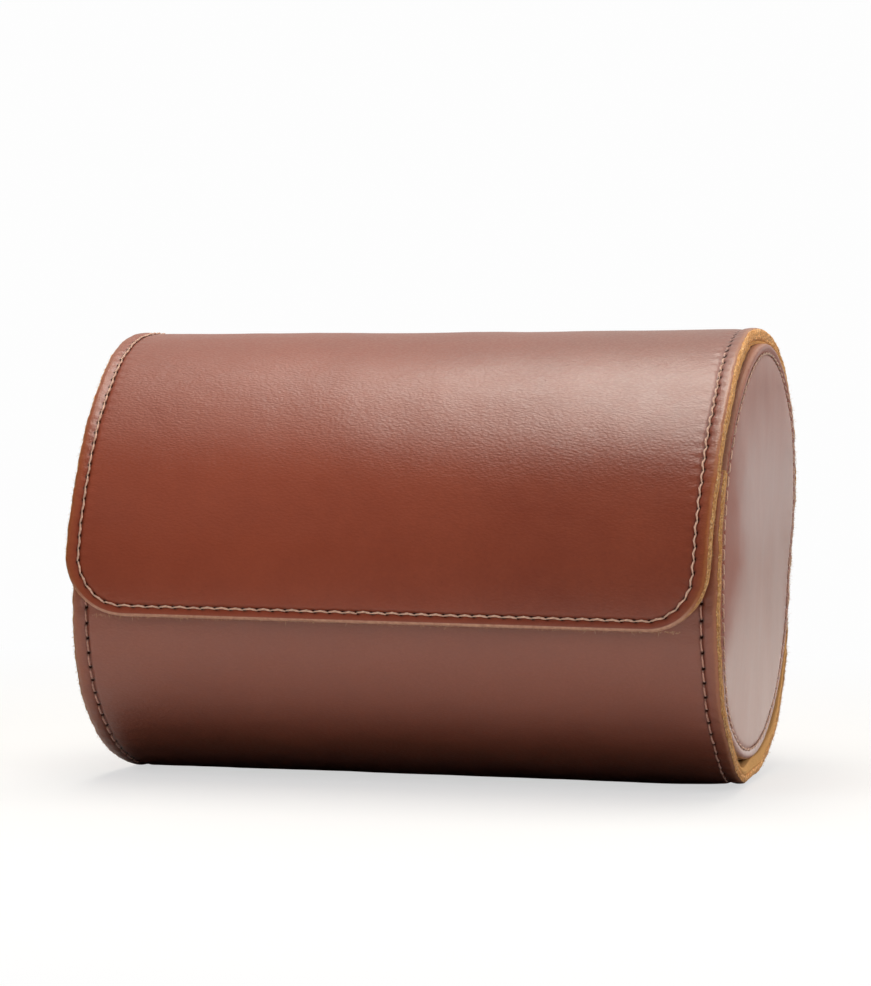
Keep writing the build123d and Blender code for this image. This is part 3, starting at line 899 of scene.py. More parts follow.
def make_suede():
    mat = material("suede_lining")
    p = mat.position_mm()
    brush = mat.noise(p, scale=0.16, detail=4, rough=0.6, distort=0.8)
    nap = mat.noise(p, scale=7.5, detail=5, rough=0.75)
    strand = mat.noise(mat.stretch(p, (2.0, 9.0, 9.0)), scale=1.0, detail=4, rough=0.7,
                       distort=1.0)
    fleck = mat.cells(p, scale=2.1)
    # painted light: paler toward the roll's two ends, for the light that falls on the lining there
    end = mat.rise(abs(mat.split(p)[0]), 60.0, 66.5, last=0.8)
    light = scaled(SUEDE, 1.35)
    color = mat.paint(
        mat.mix(mat.ramp(brush, 0.3, 0.72), scaled(SUEDE, 0.55), light),
        (mat.ramp(nap, 0.35, 0.7, last=0.55), scaled(SUEDE, 0.72)),
        (mat.ramp(strand, 0.55, 0.8, last=0.45), light),
        (mat.ramp(fleck, 0.03, 0.12, first=0.5, last=0.0), scaled(SUEDE, 0.35)),
        (end * mat.ramp(nap, 0.3, 0.6, first=0.55), scaled(SUEDE, 1.9, 2.3, 2.8)))
    height = nap * 1.0 + strand * 0.8 + brush * 1.2
    return mat.surface(
        Base_Color=color, Roughness=0.95, Specular_IOR_Level=0.15,
        Normal=mat.bump(height, distance=0.00018, strength=0.9),
        Sheen_Weight=0.5, Sheen_Roughness=0.45, Sheen_Tint=scaled(SUEDE, 2, 2.4, 2.6))


def make_fibre():
    mat = material("edge_fibre")
    p = mat.position_mm()
    color = mat.mix(mat.ramp(mat.noise(p, scale=1.4), 0.35, 0.65), (0.50, 0.24, 0.085),
                    (0.80, 0.52, 0.26))
    normal = mat.bump(mat.noise(p, scale=12.0), distance=0.00003, strength=0.6)
    return mat.surface(Base_Color=color, Roughness=0.85, Normal=normal,
                       Specular_IOR_Level=0.2, Sheen_Weight=0.3)


def make_thread(name, tint):
    mat = material(name)
    around = mat.split(mat.uv("UVMap"))
    # plies wind round the thread; filaments run along the plies
    wind = around[0] * 3.0 + around[1] * 2.3
    ply = mat.math("SINE", wind * TURN)
    filament = mat.math("SINE", wind * (TURN * 6.0))
    p = mat.position_mm()
    broad = mat.noise(p, scale=0.8)
    fuzz = mat.noise(p, scale=14.0, rough=0.7)
    color = mat.paint(
        tint,
        (mat.ramp(broad, 0.35, 0.7, last=0.5), scaled(tint, 0.68)),
        # painted shade in the grooves between the plies
        (mat.ramp(ply, -1.0, -0.45, first=0.7, last=0.0), scaled(tint, 0.34)),
        (mat.ramp(fuzz, 0.5, 0.75, last=0.3), scaled(tint, 1.3)),
        # painted shade where the thread ends sit down in their holes
        (mat.attr("dark") * 0.85, (0.02, 0.007, 0.004)))
    height = ply + filament * 0.3 + fuzz * 0.6
    return mat.surface(Base_Color=color, Roughness=0.55, Sheen_Weight=0.25,
                       Normal=mat.bump(height, distance=0.00004, strength=0.8))


def make_foam():
    mat = material("foam_padding")
    p = mat.position_mm()
    large = mat.cells(p, scale=1.7)
    small = mat.cells(p, scale=3.9)
    color = mat.paint(
        mat.mix(mat.ramp(mat.noise(p, scale=0.3), 0.35, 0.65), (0.030, 0.024, 0.020),
                (0.055, 0.045, 0.038)),
        # painted shade in the foam's open cells
        (mat.ramp(large, 0.0, 0.35, first=0.8, last=0.0), (0.008, 0.006, 0.005)))
    normal = mat.bump(large + small * 0.6, distance=0.0003, strength=0.9)
    return mat.surface(Base_Color=color, Roughness=0.96, Normal=normal,
                       Specular_IOR_Level=0.15)


def make_board():
    mat = material("fibreboard")
    p = mat.position_mm()
    streak = mat.noise(mat.stretch(p, (0.5, 3.0, 3.0)), scale=1.0, detail=5, rough=0.7,
                       distort=0.8)
    fleck = mat.cells(p, scale=1.2)
    color = mat.paint(
        mat.mix(mat.ramp(streak, 0.35, 0.7), (0.085, 0.055, 0.034), (0.165, 0.115, 0.072)),
        (mat.ramp(mat.noise(p, scale=0.2), 0.4, 0.7, last=0.4), (0.07, 0.045, 0.028)),
        (mat.ramp(fleck, 0.04, 0.12, first=0.7, last=0.0), (0.26, 0.20, 0.14)))
    return mat.surface(
        Base_Color=color, Roughness=mat.ramp(streak, 0.3, 0.7, first=0.75, last=0.9),
        Normal=mat.bump(streak + fleck, distance=0.00012, strength=0.8),
        Specular_IOR_Level=0.3)


def make_magnet():
    mat = material("nickel_magnet")
    p = mat.position_mm()
    scratch = mat.noise(mat.stretch(p, (1.0, 14.0, 2.0)), scale=2.0, detail=4, rough=0.7)
    color = mat.mix(mat.ramp(mat.noise(p, scale=0.5), 0.3, 0.7), (0.50, 0.49, 0.47),
                    (0.66, 0.65, 0.63))
    return mat.surface(
        Base_Color=color, Metallic=1.0,
        Roughness=mat.ramp(scratch, 0.3, 0.7, first=0.22, last=0.42),
        Normal=mat.bump(scratch, distance=0.00002, strength=0.6))


def make_elastic():
    mat = material("woven_elastic")
    uv = mat.uv("UVMap")
    across, along, _ = mat.split(uv)
    # ribs run along the band, wefts across it, half a weft out of step from rib to rib
    rib = mat.math("SINE", across * (TURN / 0.9))
    weft = mat.math("SINE", along * (TURN / 0.55) + mat.ramp(rib, -0.1, 0.1) * math.pi)
    fuzz = mat.noise(uv, scale=5.0, detail=4, rough=0.7)
    color = mat.paint(
        mat.mix(mat.ramp(mat.noise(uv, scale=0.35), 0.35, 0.65), (0.020, 0.010, 0.007),
                (0.036, 0.018, 0.012)),
        (mat.ramp(weft, 0.0, 1.0, last=0.45), (0.075, 0.040, 0.028)),
        # painted shade in the valleys between the ribs
        (mat.ramp(rib, -1.0, -0.6, first=0.8, last=0.0), (0.006, 0.003, 0.002)),
        (mat.ramp(fuzz, 0.55, 0.8, last=0.35), (0.12, 0.07, 0.05)))
    height = rib + weft * 0.55 + fuzz * 0.5
    return mat.surface(Base_Color=color, Roughness=0.8, Sheen_Weight=0.35,
                       Normal=mat.bump(height, distance=0.0001, strength=0.9))


MAT_LEATHER = make_leather()
MAT_DISC = make_disc_leather()
MAT_SUEDE = make_suede()
MAT_FIBRE = make_fibre()
MAT_THREAD_LIT = make_thread("waxed_thread", THREAD_LIT)
MAT_THREAD_BODY = make_thread("waxed_thread_body", THREAD_BODY)
MAT_TACK = make_thread("tack_thread", THREAD_TACK)
MAT_FOAM = make_foam()
MAT_BOARD = make_board()
MAT_MAGNET = make_magnet()
MAT_ELASTIC = make_elastic()

# ------------------------------------------------------------- the leather wrap
# Rounded rim: (edge, height of the outer face, height of the inner face).
LEATHER_RIM = [
    (0.0, -1.25, -1.25), (0.006, -1.13, -1.34), (0.014, -1.06, -1.42), (0.035, -0.95, -1.52),
    (0.075, -0.82, -1.62), (0.14, -0.67, -1.72), (0.24, -0.51, -1.81), (0.38, -0.35, -1.87),
    (0.58, -0.195, -1.90), (0.85, -0.07, -1.90), (1.15, -0.005, -1.90)]
# Further edge stations, close together round the seam.
LEATHER_STATIONS = [
    1.4, 1.7, 2.0, 2.35, 2.6, 2.8, 3.0, 3.2, 3.4, 3.6, 3.8, 4.05, 4.35, 4.8, 5.4, 6.2, 7.3,
    8.8, 10.7, FLAP_CORNER]


def relief(x, run, edge, across, along):
    """Height of the leather's outer face over its nominal surface."""
    hole = (along + 0.5) % 1.0 - 0.5
    groove = -0.20 * bell(across, 0.55) - 0.10 * bell(across, 2.0)
    prick = -0.18 * bell(across + 0.27 * (run > RUN_HINGE), 0.42) * bell(hole * 3.0, 0.55)
    pucker = 0.05 * np.cos(TURN * along) * bell(np.abs(across), 0.8, 1.2)
    welt = 0.05 * bell(across, 0.8, -1.7)
    wave = 0.16 * sheet_noise(x, run, 34.0, 1) + 0.10 * sheet_noise(x, run, 15.0, 2)
    wave = wave * smooth(1.0, 9.0, edge) + 0.035 * sheet_noise(x, run, 6.0, 3)
    wave += 0.015 * sheet_noise(x, run, 2.2, 4)
    return groove + prick - pucker + welt + wave - 0.05


def build_leather():
    rim_edge, rim_top, rim_bottom = np.array(LEATHER_RIM).T
    sheet, quads = flat_sheet([*rim_edge, *LEATHER_STATIONS], 0.43,
                              200)
    x, run, edge = sheet.T
    across, along, length = seam_coordinates(sheet)
    top = np.interp(edge, rim_edge, rim_top)
    top = top + relief(x, run, edge, across, along) * smooth(0.1, 1.0, edge)
    bottom = np.interp(edge, rim_edge, rim_bottom)
    # fray the cut edge a little, and make its outer face lumpy
    side = np.sign(x)
    fray = (sheet_noise(top * 2.2 + side * 9, length, 0.75, 8) * 0.75
            + sheet_noise(x * 0 + side * 5, length, 2.1, 9) * 0.5)
    lump = (sheet_noise(x * 3, length, 0.50, 17) * 0.75
            + sheet_noise(x * 2, length, 1.2, 18) * 0.4)
    rim = 1 - smooth(0.35, 1.0, edge)
    # the flap's free edge is smooth; every other edge has raw fibre
    fuzz = np.where(run > CORNER_RUN, 1 - smooth(0.35, 1.15, corner_angle(x, run)), 1.0)
    top = top + 0.15 * lump * rim * smooth(0.0, 0.12, edge) * fuzz
    # swelling along both ends over the top, and a broad one on the right
    from_end = HALF - np.abs(x)
    top = top + 0.30 * bell(from_end, 2.6) * smooth(190, 230, run) * (1 - smooth(285, 305, run))
    top = top + 0.55 * smooth(22, 64, x) * smooth(200, 222, run) * (1 - smooth(262, 292, run))
    frayed = sheet.copy()
    frayed[:, 0] += np.where(from_end <= edge + 1e-6, side * fray * 0.13 * rim, 0)
    frayed[:, 1] += np.where(RUN_END - run <= edge + 1e-6, fray * 0.05 * rim, 0)
    split_sheet("leather", frayed, quads, top, bottom, MAT_LEATHER, {"fuzz": fuzz})


# Rim of the lining: (edge, height of the outer face, height of the inner face).
LINING_RIM = [(0.0, -2.30, -2.30), (0.03, -2.08, -2.50), (0.10, -1.97, -2.62),
              (0.22, -1.93, -2.68), (0.40, -1.92, -2.70), (0.7, -1.92, -2.70)]


def build_lining():
    rim_edge, rim_top, rim_bottom = np.array(LINING_RIM).T
    stations = [*rim_edge, 1.2, 2.0, 3.0, 4.2, 6.0, 9.0, FLAP_CORNER]
    sheet, quads = flat_sheet(stations, 0.8, 110)
    x, run, edge = sheet.T
    across, _, length = seam_coordinates(sheet)
    top = np.interp(edge, rim_edge, rim_top)
    bottom = (np.interp(edge, rim_edge, rim_bottom) + 0.10 * bell(across, 1.0)
              + 0.05 * sheet_noise(x, run, 9.0, 12) * smooth(0.4, 4, edge))
    # under the right disc the lining is pushed up into a thick lip
    bottom = bottom - (1.5 * smooth(HALF - 7.0, HALF - 1.5, x) * bell(run, 17.0, 101.0)
                       * smooth(0.0, 0.4, edge))
    # both ends are cut back unevenly
    cut_back = 0.12 + 0.10 * sheet_noise(x * 0, length, 1.1, 14)
    sheet[:, 0] = x - np.sign(x) * cut_back * (1 - smooth(0.1, 2.0, HALF - np.abs(x)))
    split_sheet("lining", sheet, quads, top, bottom, MAT_SUEDE)


build_leather()
build_lining()

# ----------------------------------------------------------------------- thread
LOBES, LOBE_TURNS, LOBE_DEPTH = 2, 1.6, 0.13      # twisted section of a thread
STITCH_COUNT = 13
STITCH_START, STITCH_SPAN = 0.09, 0.82            # visible part of a stitch, hole to hole
STITCH = np.linspace(STITCH_START, 0.91, STITCH_COUNT)
WHOLE_STITCH = np.linspace(0.0, 1.0, STITCH_COUNT + 2)


def tube(path, radius, sides):
    """Closed tube along path; radius may vary.  Returns points, quads, tris, uvs, length share."""
    path = np.asarray(path, float)
    count = len(path)
    tangent = np.gradient(path, axis=0)
    tangent /= np.maximum(np.linalg.norm(tangent, axis=1)[:, None], 1e-12)
    upright = abs(tangent[count // 2][2]) >= 0.9
    across = np.cross(tangent, [1.0, 0.0, 0.0] if upright else [0.0, 0.0, 1.0])
    across /= np.maximum(np.linalg.norm(across, axis=1)[:, None], 1e-12)
    other = np.cross(tangent, across)
    share = np.linspace(0, 1, count)
    angle = np.linspace(0, TURN, sides, endpoint=False)
    radius = np.broadcast_to(np.asarray(radius, float), (count,))[:, None] * (
        1 + LOBE_DEPTH * np.cos(LOBES * (angle[None] - LOBE_TURNS * TURN * share[:, None])))
    spokes = (np.cos(angle)[None, :, None] * across[:, None]
              + np.sin(angle)[None, :, None] * other[:, None])
    points = (path[:, None] + radius[..., None] * spokes).reshape(-1, 3)
    uvs = np.stack(np.meshgrid(share, angle / TURN, indexing="ij"), -1).reshape(-1, 2)
    # pole points close the ends
    points = np.concatenate([points, path[:1], path[-1:]])
    uvs = np.concatenate([uvs, [[0, 0], [1, 0]]])
    j = np.arange(sides)
    after = (j + 1) % sides
    pole, last = count * sides, (count - 1) * sides
    tris = np.concatenate([np.stack([np.full(sides, pole), after, j], 1),
                           np.stack([np.full(sides, pole + 1), last + j, last + after], 1)])
    return (points, ring_quads(count, sides), tris, uvs,
            np.concatenate([np.repeat(share, sides), [0, 1]]))


class Threads:
    """Many short tubes gathered into one object."""

    def __init__(self):
        self.points, self.quads, self.tris, self.uvs, self.dark = [], [], [], [], []
        self.count = 0

    def add(self, path, radius, sides, darken):
        """darken gives how dark the thread is from its length share."""
        points, quads, tris, uvs, share = tube(path, radius, sides)
        self.points.append(points)
        self.quads.append(quads + self.count)
        self.tris.append(tris + self.count)
        self.uvs.append(uvs)
        self.dark.append(darken(share))
        self.count += len(points)

    def make(self, name, mat, leaned=False):
        return make_object(name, np.concatenate(self.points),
                           [np.concatenate(self.quads), np.concatenate(self.tris)], mat,
                           uvs=np.concatenate(self.uvs),
                           attrs={"dark": np.concatenate(self.dark)}, leaned=leaned)


def stitch_height(share):
    """Thread centre over the surface along a stitch."""
    return -0.40 + 0.42 * plateau(share, 0.04, 0.26) + 0.05 * np.sin(math.pi * share)


def stitch_dark(start, end):
    """Painted shade on a stitch's two ends, where they go into the holes."""
    return lambda share: 1 - plateau(STITCH_START + STITCH_SPAN * share, start, end)


def section_at(run):
    return next(name for name, start, end in SECTIONS if start < run <= end)


def wrap_stitch(threads, i):
    flap = seam_at(HOLES[i])[1] > RUN_HINGE + 2.0
    share = WHOLE_STITCH if flap else STITCH
    length = HOLES[i] + (HOLES[i + 1] - HOLES[i]) * share
    x, run = seam_at(length)
    ahead = np.stack(seam_at(length + 0.2), 1) - np.stack(seam_at(length - 0.2), 1)
    ahead /= np.hypot(*ahead.T)[:, None]
    if flap:
        # the thread runs on past each hole on its outer side, and leans inward between holes
        hump = 0.5 + 0.5 * np.cos(TURN * share)
        off = 0.04 + 0.25 * hump + 0.06 * (2 * share - 1) + rng.normal(0, 0.03)
        height = (-0.02 - 0.13 * hump + 0.05 * np.sin(math.pi * share)
                  + rng.normal(0, 0.015))
        radius = 0.205 * (1 + rng.normal(0, 0.04)) * (1 - 0.30 * hump)
        # painted shade where the thread goes into each hole
        darken = lambda share: 0.35 * (1 - plateau(share, 0.0, 0.10))
    else:
        off = -(0.10 * (2 * share - 1) + rng.normal(0, 0.03))
        height = stitch_height(share) - 0.02 + rng.normal(0, 0.02)
        radius = 0.165 * (1 + rng.normal(0, 0.04)) * (0.75 + 0.25 * plateau(share, 0.0, 0.25))
        darken = stitch_dark(0.08, 0.20)
    # off is measured toward the cut edge
    path = place(x - ahead[:, 1] * off, run + ahead[:, 0] * off, height)
    threads.add(path, radius, 10, darken)


def build_wrap_threads():
    threads = {section[0]: Threads() for section in SECTIONS}
    hole_runs = seam_at(HOLES)[1]
    for i in range(len(HOLES) - 1):
        middle = 0.5 * (hole_runs[i] + hole_runs[i + 1])
        # none where the wrap lies on the table
        if outline_point(middle)[1] > 1.3:
            wrap_stitch(threads[section_at(middle)], i)
    # seam along the lip, under the flap
    count = int((LENGTH - 2 * SEAM_INSET) / 3.3)
    lip_x = np.linspace(-(HALF - SEAM_INSET), HALF - SEAM_INSET, count + 1)
    for start, end in zip(lip_x, lip_x[1:]):
        path = place(start + (end - start) * STITCH, SEAM_INSET + 0.15 * (2 * STITCH - 1),
                     stitch_height(STITCH) - 0.12)
        radius = 0.235 * (0.72 + 0.28 * plateau(STITCH, 0.0, 0.22))
        threads["body"].add(path, radius, 8, stitch_dark(0.03, 0.17))
    made = {}
    for section, group in threads.items():
        # the flap's stitches take the painted lighter copy of the thread
        upper = section in ("flap", "bend_upper")
        made[section] = group.make("thread_" + section,
                                   MAT_THREAD_LIT if upper else MAT_THREAD_BODY)
    settle_sections(made, "stitching")


build_wrap_threads()


# -------------------------------------------------------------- loose edge fibres
def unit(vector):
    return vector / np.linalg.norm(vector)


def make_fibres(name, spots):
    """One thin curved three-sided spike for each (base point, direction)."""
    points, quads, tris = [], [], []
    for base, direction in spots:
        first = len(points)
        short = rng.random() < 0.93
        length = rng.uniform(0.12, 0.42) if short else rng.uniform(0.5, 0.95)
        radius = rng.uniform(0.018, 0.040)
        side = rng.normal(0, 1, 3)
        side -= side @ direction * direction
        side /= np.linalg.norm(side)
        other = np.cross(direction, side)
        curl = rng.uniform(-0.55, 0.55)
        for share, taper in ((0.0, 1.0), (0.5, 0.8), (1.0, 0.3)):
            centre = (base + direction * (length * share - 0.06)
                      + side * (curl * length * share * share))
            for angle in (0, 2.094, 4.189):
                spoke = side * math.cos(angle) + other * math.sin(angle)
                points.append(centre + spoke * radius * taper)
        points.append(base + direction * (length * 1.12 - 0.06) + side * (curl * length * 1.25))
        quads.append(ring_quads(3, 3) + first)
        tris += [[first + 6 + j, first + 6 + (j + 1) % 3, first + 9] for j in range(3)]
        tris.append([first + 2, first + 1, first])
    ob = make_object(name, np.array(points), [np.concatenate(quads), np.array(tris)], MAT_FIBRE)
    return ob


def build_fibres():
    spots = {section[0]: [] for section in SECTIONS}
    for side in (-1, 1):
        for _ in range(3600):
            run = rng.uniform(0.5, CORNER_RUN)
            if outline_point(run)[1] < 0.8:
                continue
            base = place(side * (HALF - 0.02), run, rng.uniform(-2.45, -0.45))
            normal = np.array([0, *outline_normal(run)])
            along = np.array([0, -normal[2], normal[1]])
            direction = unit(np.array([side, 0, 0]) + normal * rng.normal(0.05, 0.45)
                             + along * rng.normal(0, 0.6))
            spots[section_at(run)].append((base, direction))
    # the flap's free edge
    normal = np.array([0, *outline_normal(RUN_END)])
    down = np.array([0, -normal[2], normal[1]])
    for _ in range(1100):
        x = rng.uniform(-(HALF - 6), HALF - 6)
        base = place(x, RUN_END - 0.02, rng.uniform(-2.4, -0.75))
        direction = unit(down + normal * rng.normal(0.1, 0.35)
                         + np.array([1, 0, 0]) * rng.normal(0, 0.5))
        spots["flap"].append((base, direction))
    for section, group in spots.items():
        attach(make_fibres("fibres_" + section, group), section)


build_fibres()

# -------------------------------------------------------------------- end discs
DISC_FACE_R = [
    0.001, 4, 8, 12, 16, 20, 24, 28, 31, 33.5, 35.5, 37, 38, 39, 39.8, 40.4, 40.8, 41.15,
    41.45, 41.7, 41.95, 42.2, 42.5, 42.8, 43.0, 43.2, 43.4, 43.56, 43.7, 43.8, 43.87, 43.9]
# The leather's turned edge and back: (radius over DISC_R, inset, edge_d).
DISC_TURNED = [
    (0, 1.2, 0.0), (0, 1.8, 0.0), (-0.02, 2.6, 0.0), (-0.1, 3.1, 0.0), (-0.3, 3.36, 0.0),
    (-0.7, 3.4, 0.0), (-1.1, 3.36, 0.3), (-1.18, 3.1, 0.3), (-1.2, 2.4, 0.3), (-1.2, 1.5, 0.3),
    (-1.4, 1.4, 0.4), (-13, 1.4, 0.5), (-28, 1.4, 0.5), (0.001 - DISC_R, 1.4, 0.5)]
# Section of the disc's lining: (radius, inset past the board).
DISC_LINING = [
    (0.001, 0.02), (12, 0.02), (28, 0.02), (43.1, 0.02), (43.5, 0.05), (43.7, 0.2),
    (43.72, 0.35), (43.6, 0.52), (43.3, 0.58), (42.0, 0.60), (40, 0.6), (36, 0.6), (30, 0.6),
    (24, 0.6), (18, 0.6), (12, 0.6), (6, 0.6), (0.001, 0.6)]
NO_EDGE = 9       # edge_d of pieces that show no cut edge


def revolve(profile, side, segments, name, mat, wobble=None, stitches=1):
    """Disc about the cradle's axis from rows (radius, inset from the disc's face, edge_d).

    wobble adds to the inset."""
    profile = np.array(profile, float)
    angles = np.linspace(0, TURN, segments, endpoint=False)
    radius, angle = np.meshgrid(profile[:, 0], angles, indexing="ij")
    inset = np.broadcast_to(profile[:, 1][:, None], radius.shape).copy()
    if wobble is not None:
        inset += wobble(radius, angle, profile)
    points = np.stack([side * (DISC_FACE_X - inset), CRADLE_Y - radius * np.cos(angle),
                       CRADLE_Z + radius * np.sin(angle)], -1).reshape(-1, 3)
    quads = ring_quads(len(profile), segments)
    first, quads = weld(points, quads[:, ::-1] if side < 0 else quads, 5)
    edge = np.broadcast_to(profile[:, 2][:, None], radius.shape).reshape(-1)[first]
    ob = make_object(name, points[first], split_tris(quads), mat, attrs={"edge_d": edge},
                     leaned=True)
    # seam UVs per loop, so that the stitch count runs on where the disc closes
    mesh = ob.data
    layer = mesh.uv_layers.new(name="Seam")
    corner = np.zeros(len(mesh.loops), np.int32)
    mesh.loops.foreach_get("vertex_index", corner)
    across = (radius - DISC_SEAM_R).reshape(-1)[first][corner]
    along = (angle / TURN * stitches).reshape(-1)[first][corner]
    face = np.repeat(np.arange(len(mesh.polygons)), [p.loop_total for p in mesh.polygons])
    furthest = np.zeros(len(mesh.polygons))
    np.maximum.at(furthest, face, along)
    along[furthest[face] - along > stitches / 2] += stitches
    layer.data.foreach_set("uv", np.stack([across, along], 1).astype(np.float32).ravel())
    return ob


def disc_face_inset(radius):
    """Rolled rim and the groove pressed by the seam."""
    from_rim = DISC_R - radius
    roll_r = 0.95
    drop = np.sqrt(np.maximum(roll_r * roll_r - (roll_r - from_rim) ** 2, 0))
    roll = np.where(from_rim < roll_r, roll_r - drop, 0.0)
    off = radius - DISC_SEAM_R
    return roll + 0.24 * bell(off, 0.5) + 0.10 * bell(off, 1.8)


def disc_wobble(radius, angle, profile):
    """Pricked holes and slow waves on the disc's face."""
    hole = (angle / TURN * DISC_STITCHES + 0.5) % 1.0 - 0.5
    prick = 0.16 * bell(radius - DISC_SEAM_R, 0.5) * bell(hole * 3.0, 0.45)
    one, two = radius * np.cos(angle), radius * np.sin(angle)
    wave = (0.16 * sheet_noise(one, two, 26.0, 21) + 0.07 * sheet_noise(one, two, 9.0, 22)
            + 0.02 * sheet_noise(one, two, 3.0, 23))
    front = (np.arange(len(profile)) < len(DISC_FACE_R) - 2)[:, None]
    return np.where(front, prick + (wave + 0.1) * smooth(0.0, 1.5, DISC_R - radius), 0.0)


def build_disc_threads(side, name):
    threads = Threads()
    for i in range(DISC_STITCHES):
        angle = (i + STITCH) / DISC_STITCHES * 2 * math.pi
        radius = DISC_SEAM_R + 0.15 * (2 * STITCH - 1) + rng.normal(0, 0.03)
        height = stitch_height(STITCH) - 0.28 + rng.normal(0, 0.02)
        path = np.stack([side * (DISC_FACE_X + height), CRADLE_Y - radius * np.cos(angle),
                         CRADLE_Z + radius * np.sin(angle)], 1)
        thickness = 0.20 * (0.72 + 0.28 * plateau(STITCH, 0.0, 0.22))
        threads.add(path, thickness, 8, stitch_dark(0.08, 0.24))
    settle(threads.make("thread_disc_" + name, MAT_THREAD_LIT, leaned=True),
           name + "_end_stitching")


def build_disc_lining(side, name):
    back = DISC_LEATHER_T + DISC_BOARD_T

    def wave(radius, angle, profile):
        one, two = radius * np.cos(angle), radius * np.sin(angle)
        inner = (profile[:, 1] > back + 0.55)[:, None]
        height = -0.03 + 0.05 * sheet_noise(one, two, 8.0, 31 + side)
        return np.where(inner, height, 0.0) * smooth(0.5, 4, DISC_R - radius)

    profile = [(radius, back + inset, NO_EDGE) for radius, inset in DISC_LINING]
    ob = revolve(profile, side, 180, "disc_lining_" + name, MAT_SUEDE, wave)
    settle(ob, name + "_end_lining")


def build_disc_board(side, name):
    """Board inside the disc, with rounded edges."""
    rim = DISC_R - DISC_EDGE_T - 0.04
    near, far = DISC_LEATHER_T + 0.04, DISC_LEATHER_T + DISC_BOARD_T - 0.02
    section = [
        (0.001, near), (14, near), (28, near), (rim - 0.8, near), (rim - 0.15, near + 0.05),
        (rim, near + 0.2), (rim, (near + far) / 2), (rim, far - 0.2), (rim - 0.15, far - 0.05),
        (rim - 0.8, far), (28, far), (14, far), (0.001, far)]
    profile = [(radius, inset, NO_EDGE) for radius, inset in section]
    ob = revolve(profile, side, 160, "disc_board_" + name, MAT_BOARD)
    settle(ob, name + "_end_board")


def build_disc(side, name):
    face = [(r, disc_face_inset(r), DISC_R - r) for r in DISC_FACE_R]
    turned = [(DISC_R + over, inset, edge) for over, inset, edge in DISC_TURNED]
    ob = revolve(face + turned, side, DISC_STITCHES * 7, "disc_" + name,
                 MAT_DISC, disc_wobble, DISC_STITCHES)
    settle(ob, name + "_end_leather")
    build_disc_threads(side, name)
    build_disc_lining(side, name)
    build_disc_board(side, name)


SIDES = ((-1, "left"), (1, "right"))
for side, name in SIDES:
    build_disc(side, name)

# ----------------------------------------------------------------------- cradle
BOARD_IN_R = DISC_R - BOARD_T
WALL_R = BOARD_IN_R - CRADLE_SUEDE_T
CRADLE_CENTRE = np.array([CRADLE_Y, CRADLE_Z])
ARC_COUNT = 150


def cradle_arc(radius, angle):
    """(y, z) at angles in degrees about the cradle's axis."""
    angle = angle * RAD
    return np.stack([CRADLE_Y - radius * np.cos(angle), CRADLE_Z + radius * np.sin(angle)], -1)


def make_strip(name, outer, inner, mat, columns, half, roughness, seed):
    """Prism along x whose section is the band between two equally long polylines."""
    section = np.concatenate([outer, inner[::-1]])
    count = len(section)
    after = np.roll(section, -1, 0)
    tangent = after - np.roll(section, 1, 0)
    tangent /= np.maximum(np.hypot(*tangent.T)[:, None], 1e-9)
    normal = np.stack([tangent[:, 1], -tangent[:, 0]], 1)
    clockwise = np.sum(section[:, 0] * after[:, 1] - after[:, 0] * section[:, 1]) < 0
    if clockwise:
        normal = -normal
    # the two ends are rounded by shrinking the section
    corner = 0.2
    xs = np.concatenate([[-half, -half + 0.06, -half + corner],
                         np.linspace(-half + 1.2, half - 1.2, columns),
                         [half - corner, half - 0.06, half]])
    shrinks = np.concatenate([[corner, corner * 0.4, 0.0], np.zeros(columns),
                              [0.0, corner * 0.4, corner]])
    rings = []
    for x, shrink in zip(xs, shrinks):
        column = np.full(count, x)
        swell = roughness * sheet_noise(column, np.arange(count) * 0.8, 5.0, seed)
        rings.append(np.column_stack([column, section + normal * (swell[:, None] - shrink)]))
    i = np.arange(len(outer) - 1)
    cap = np.stack([i, i + 1, count - 2 - i, count - 1 - i], 1)
    walls = ring_quads(len(xs), count)[:, [0, 3, 2, 1]]
    faces = np.concatenate([walls, cap[:, ::-1], cap + (len(xs) - 1) * count])
    if clockwise:
        # the walls keep their first corner; the caps are turned whole
        faces = faces[:, ::-1]
    return make_object(name, np.concatenate(rings), [faces], mat, leaned=True)


def turned_arc(tip, fold, wall):
    """Arc over the cradle with both ends turned outward.

    Each argument is (radius, angle in from the cradle's long edge)."""
    radius = [tip[0], fold[0], *[wall[0]] * ARC_COUNT, fold[0], tip[0]]
    angle = [CRADLE_FRONT + tip[1], CRADLE_FRONT + fold[1],
             *np.linspace(CRADLE_FRONT + wall[1], CRADLE_BACK - wall[1], ARC_COUNT),
             CRADLE_BACK - fold[1], CRADLE_BACK - tip[1]]
    return cradle_arc(np.array(radius), np.array(angle))


def build_cradle_cover():
    """Suede cover, turned over the board's long edges."""
    turn = 0.62 / BOARD_IN_R / RAD
    outer = turned_arc((DISC_R - 0.05, 0.02), (BOARD_IN_R + 0.25, 0.02),
                       (BOARD_IN_R - 0.02, 0.01))
    inner = turned_arc((DISC_R - 0.08, turn * 0.8), (BOARD_IN_R + 0.2, turn),
                       (WALL_R + 0.02, turn * 0.6))
    ob = make_strip("cradle_cover", outer, inner, MAT_SUEDE, columns=90,
                    half=CRADLE_HALF - 0.02, roughness=0.045, seed=41)
    settle(ob, "cradle_lining")


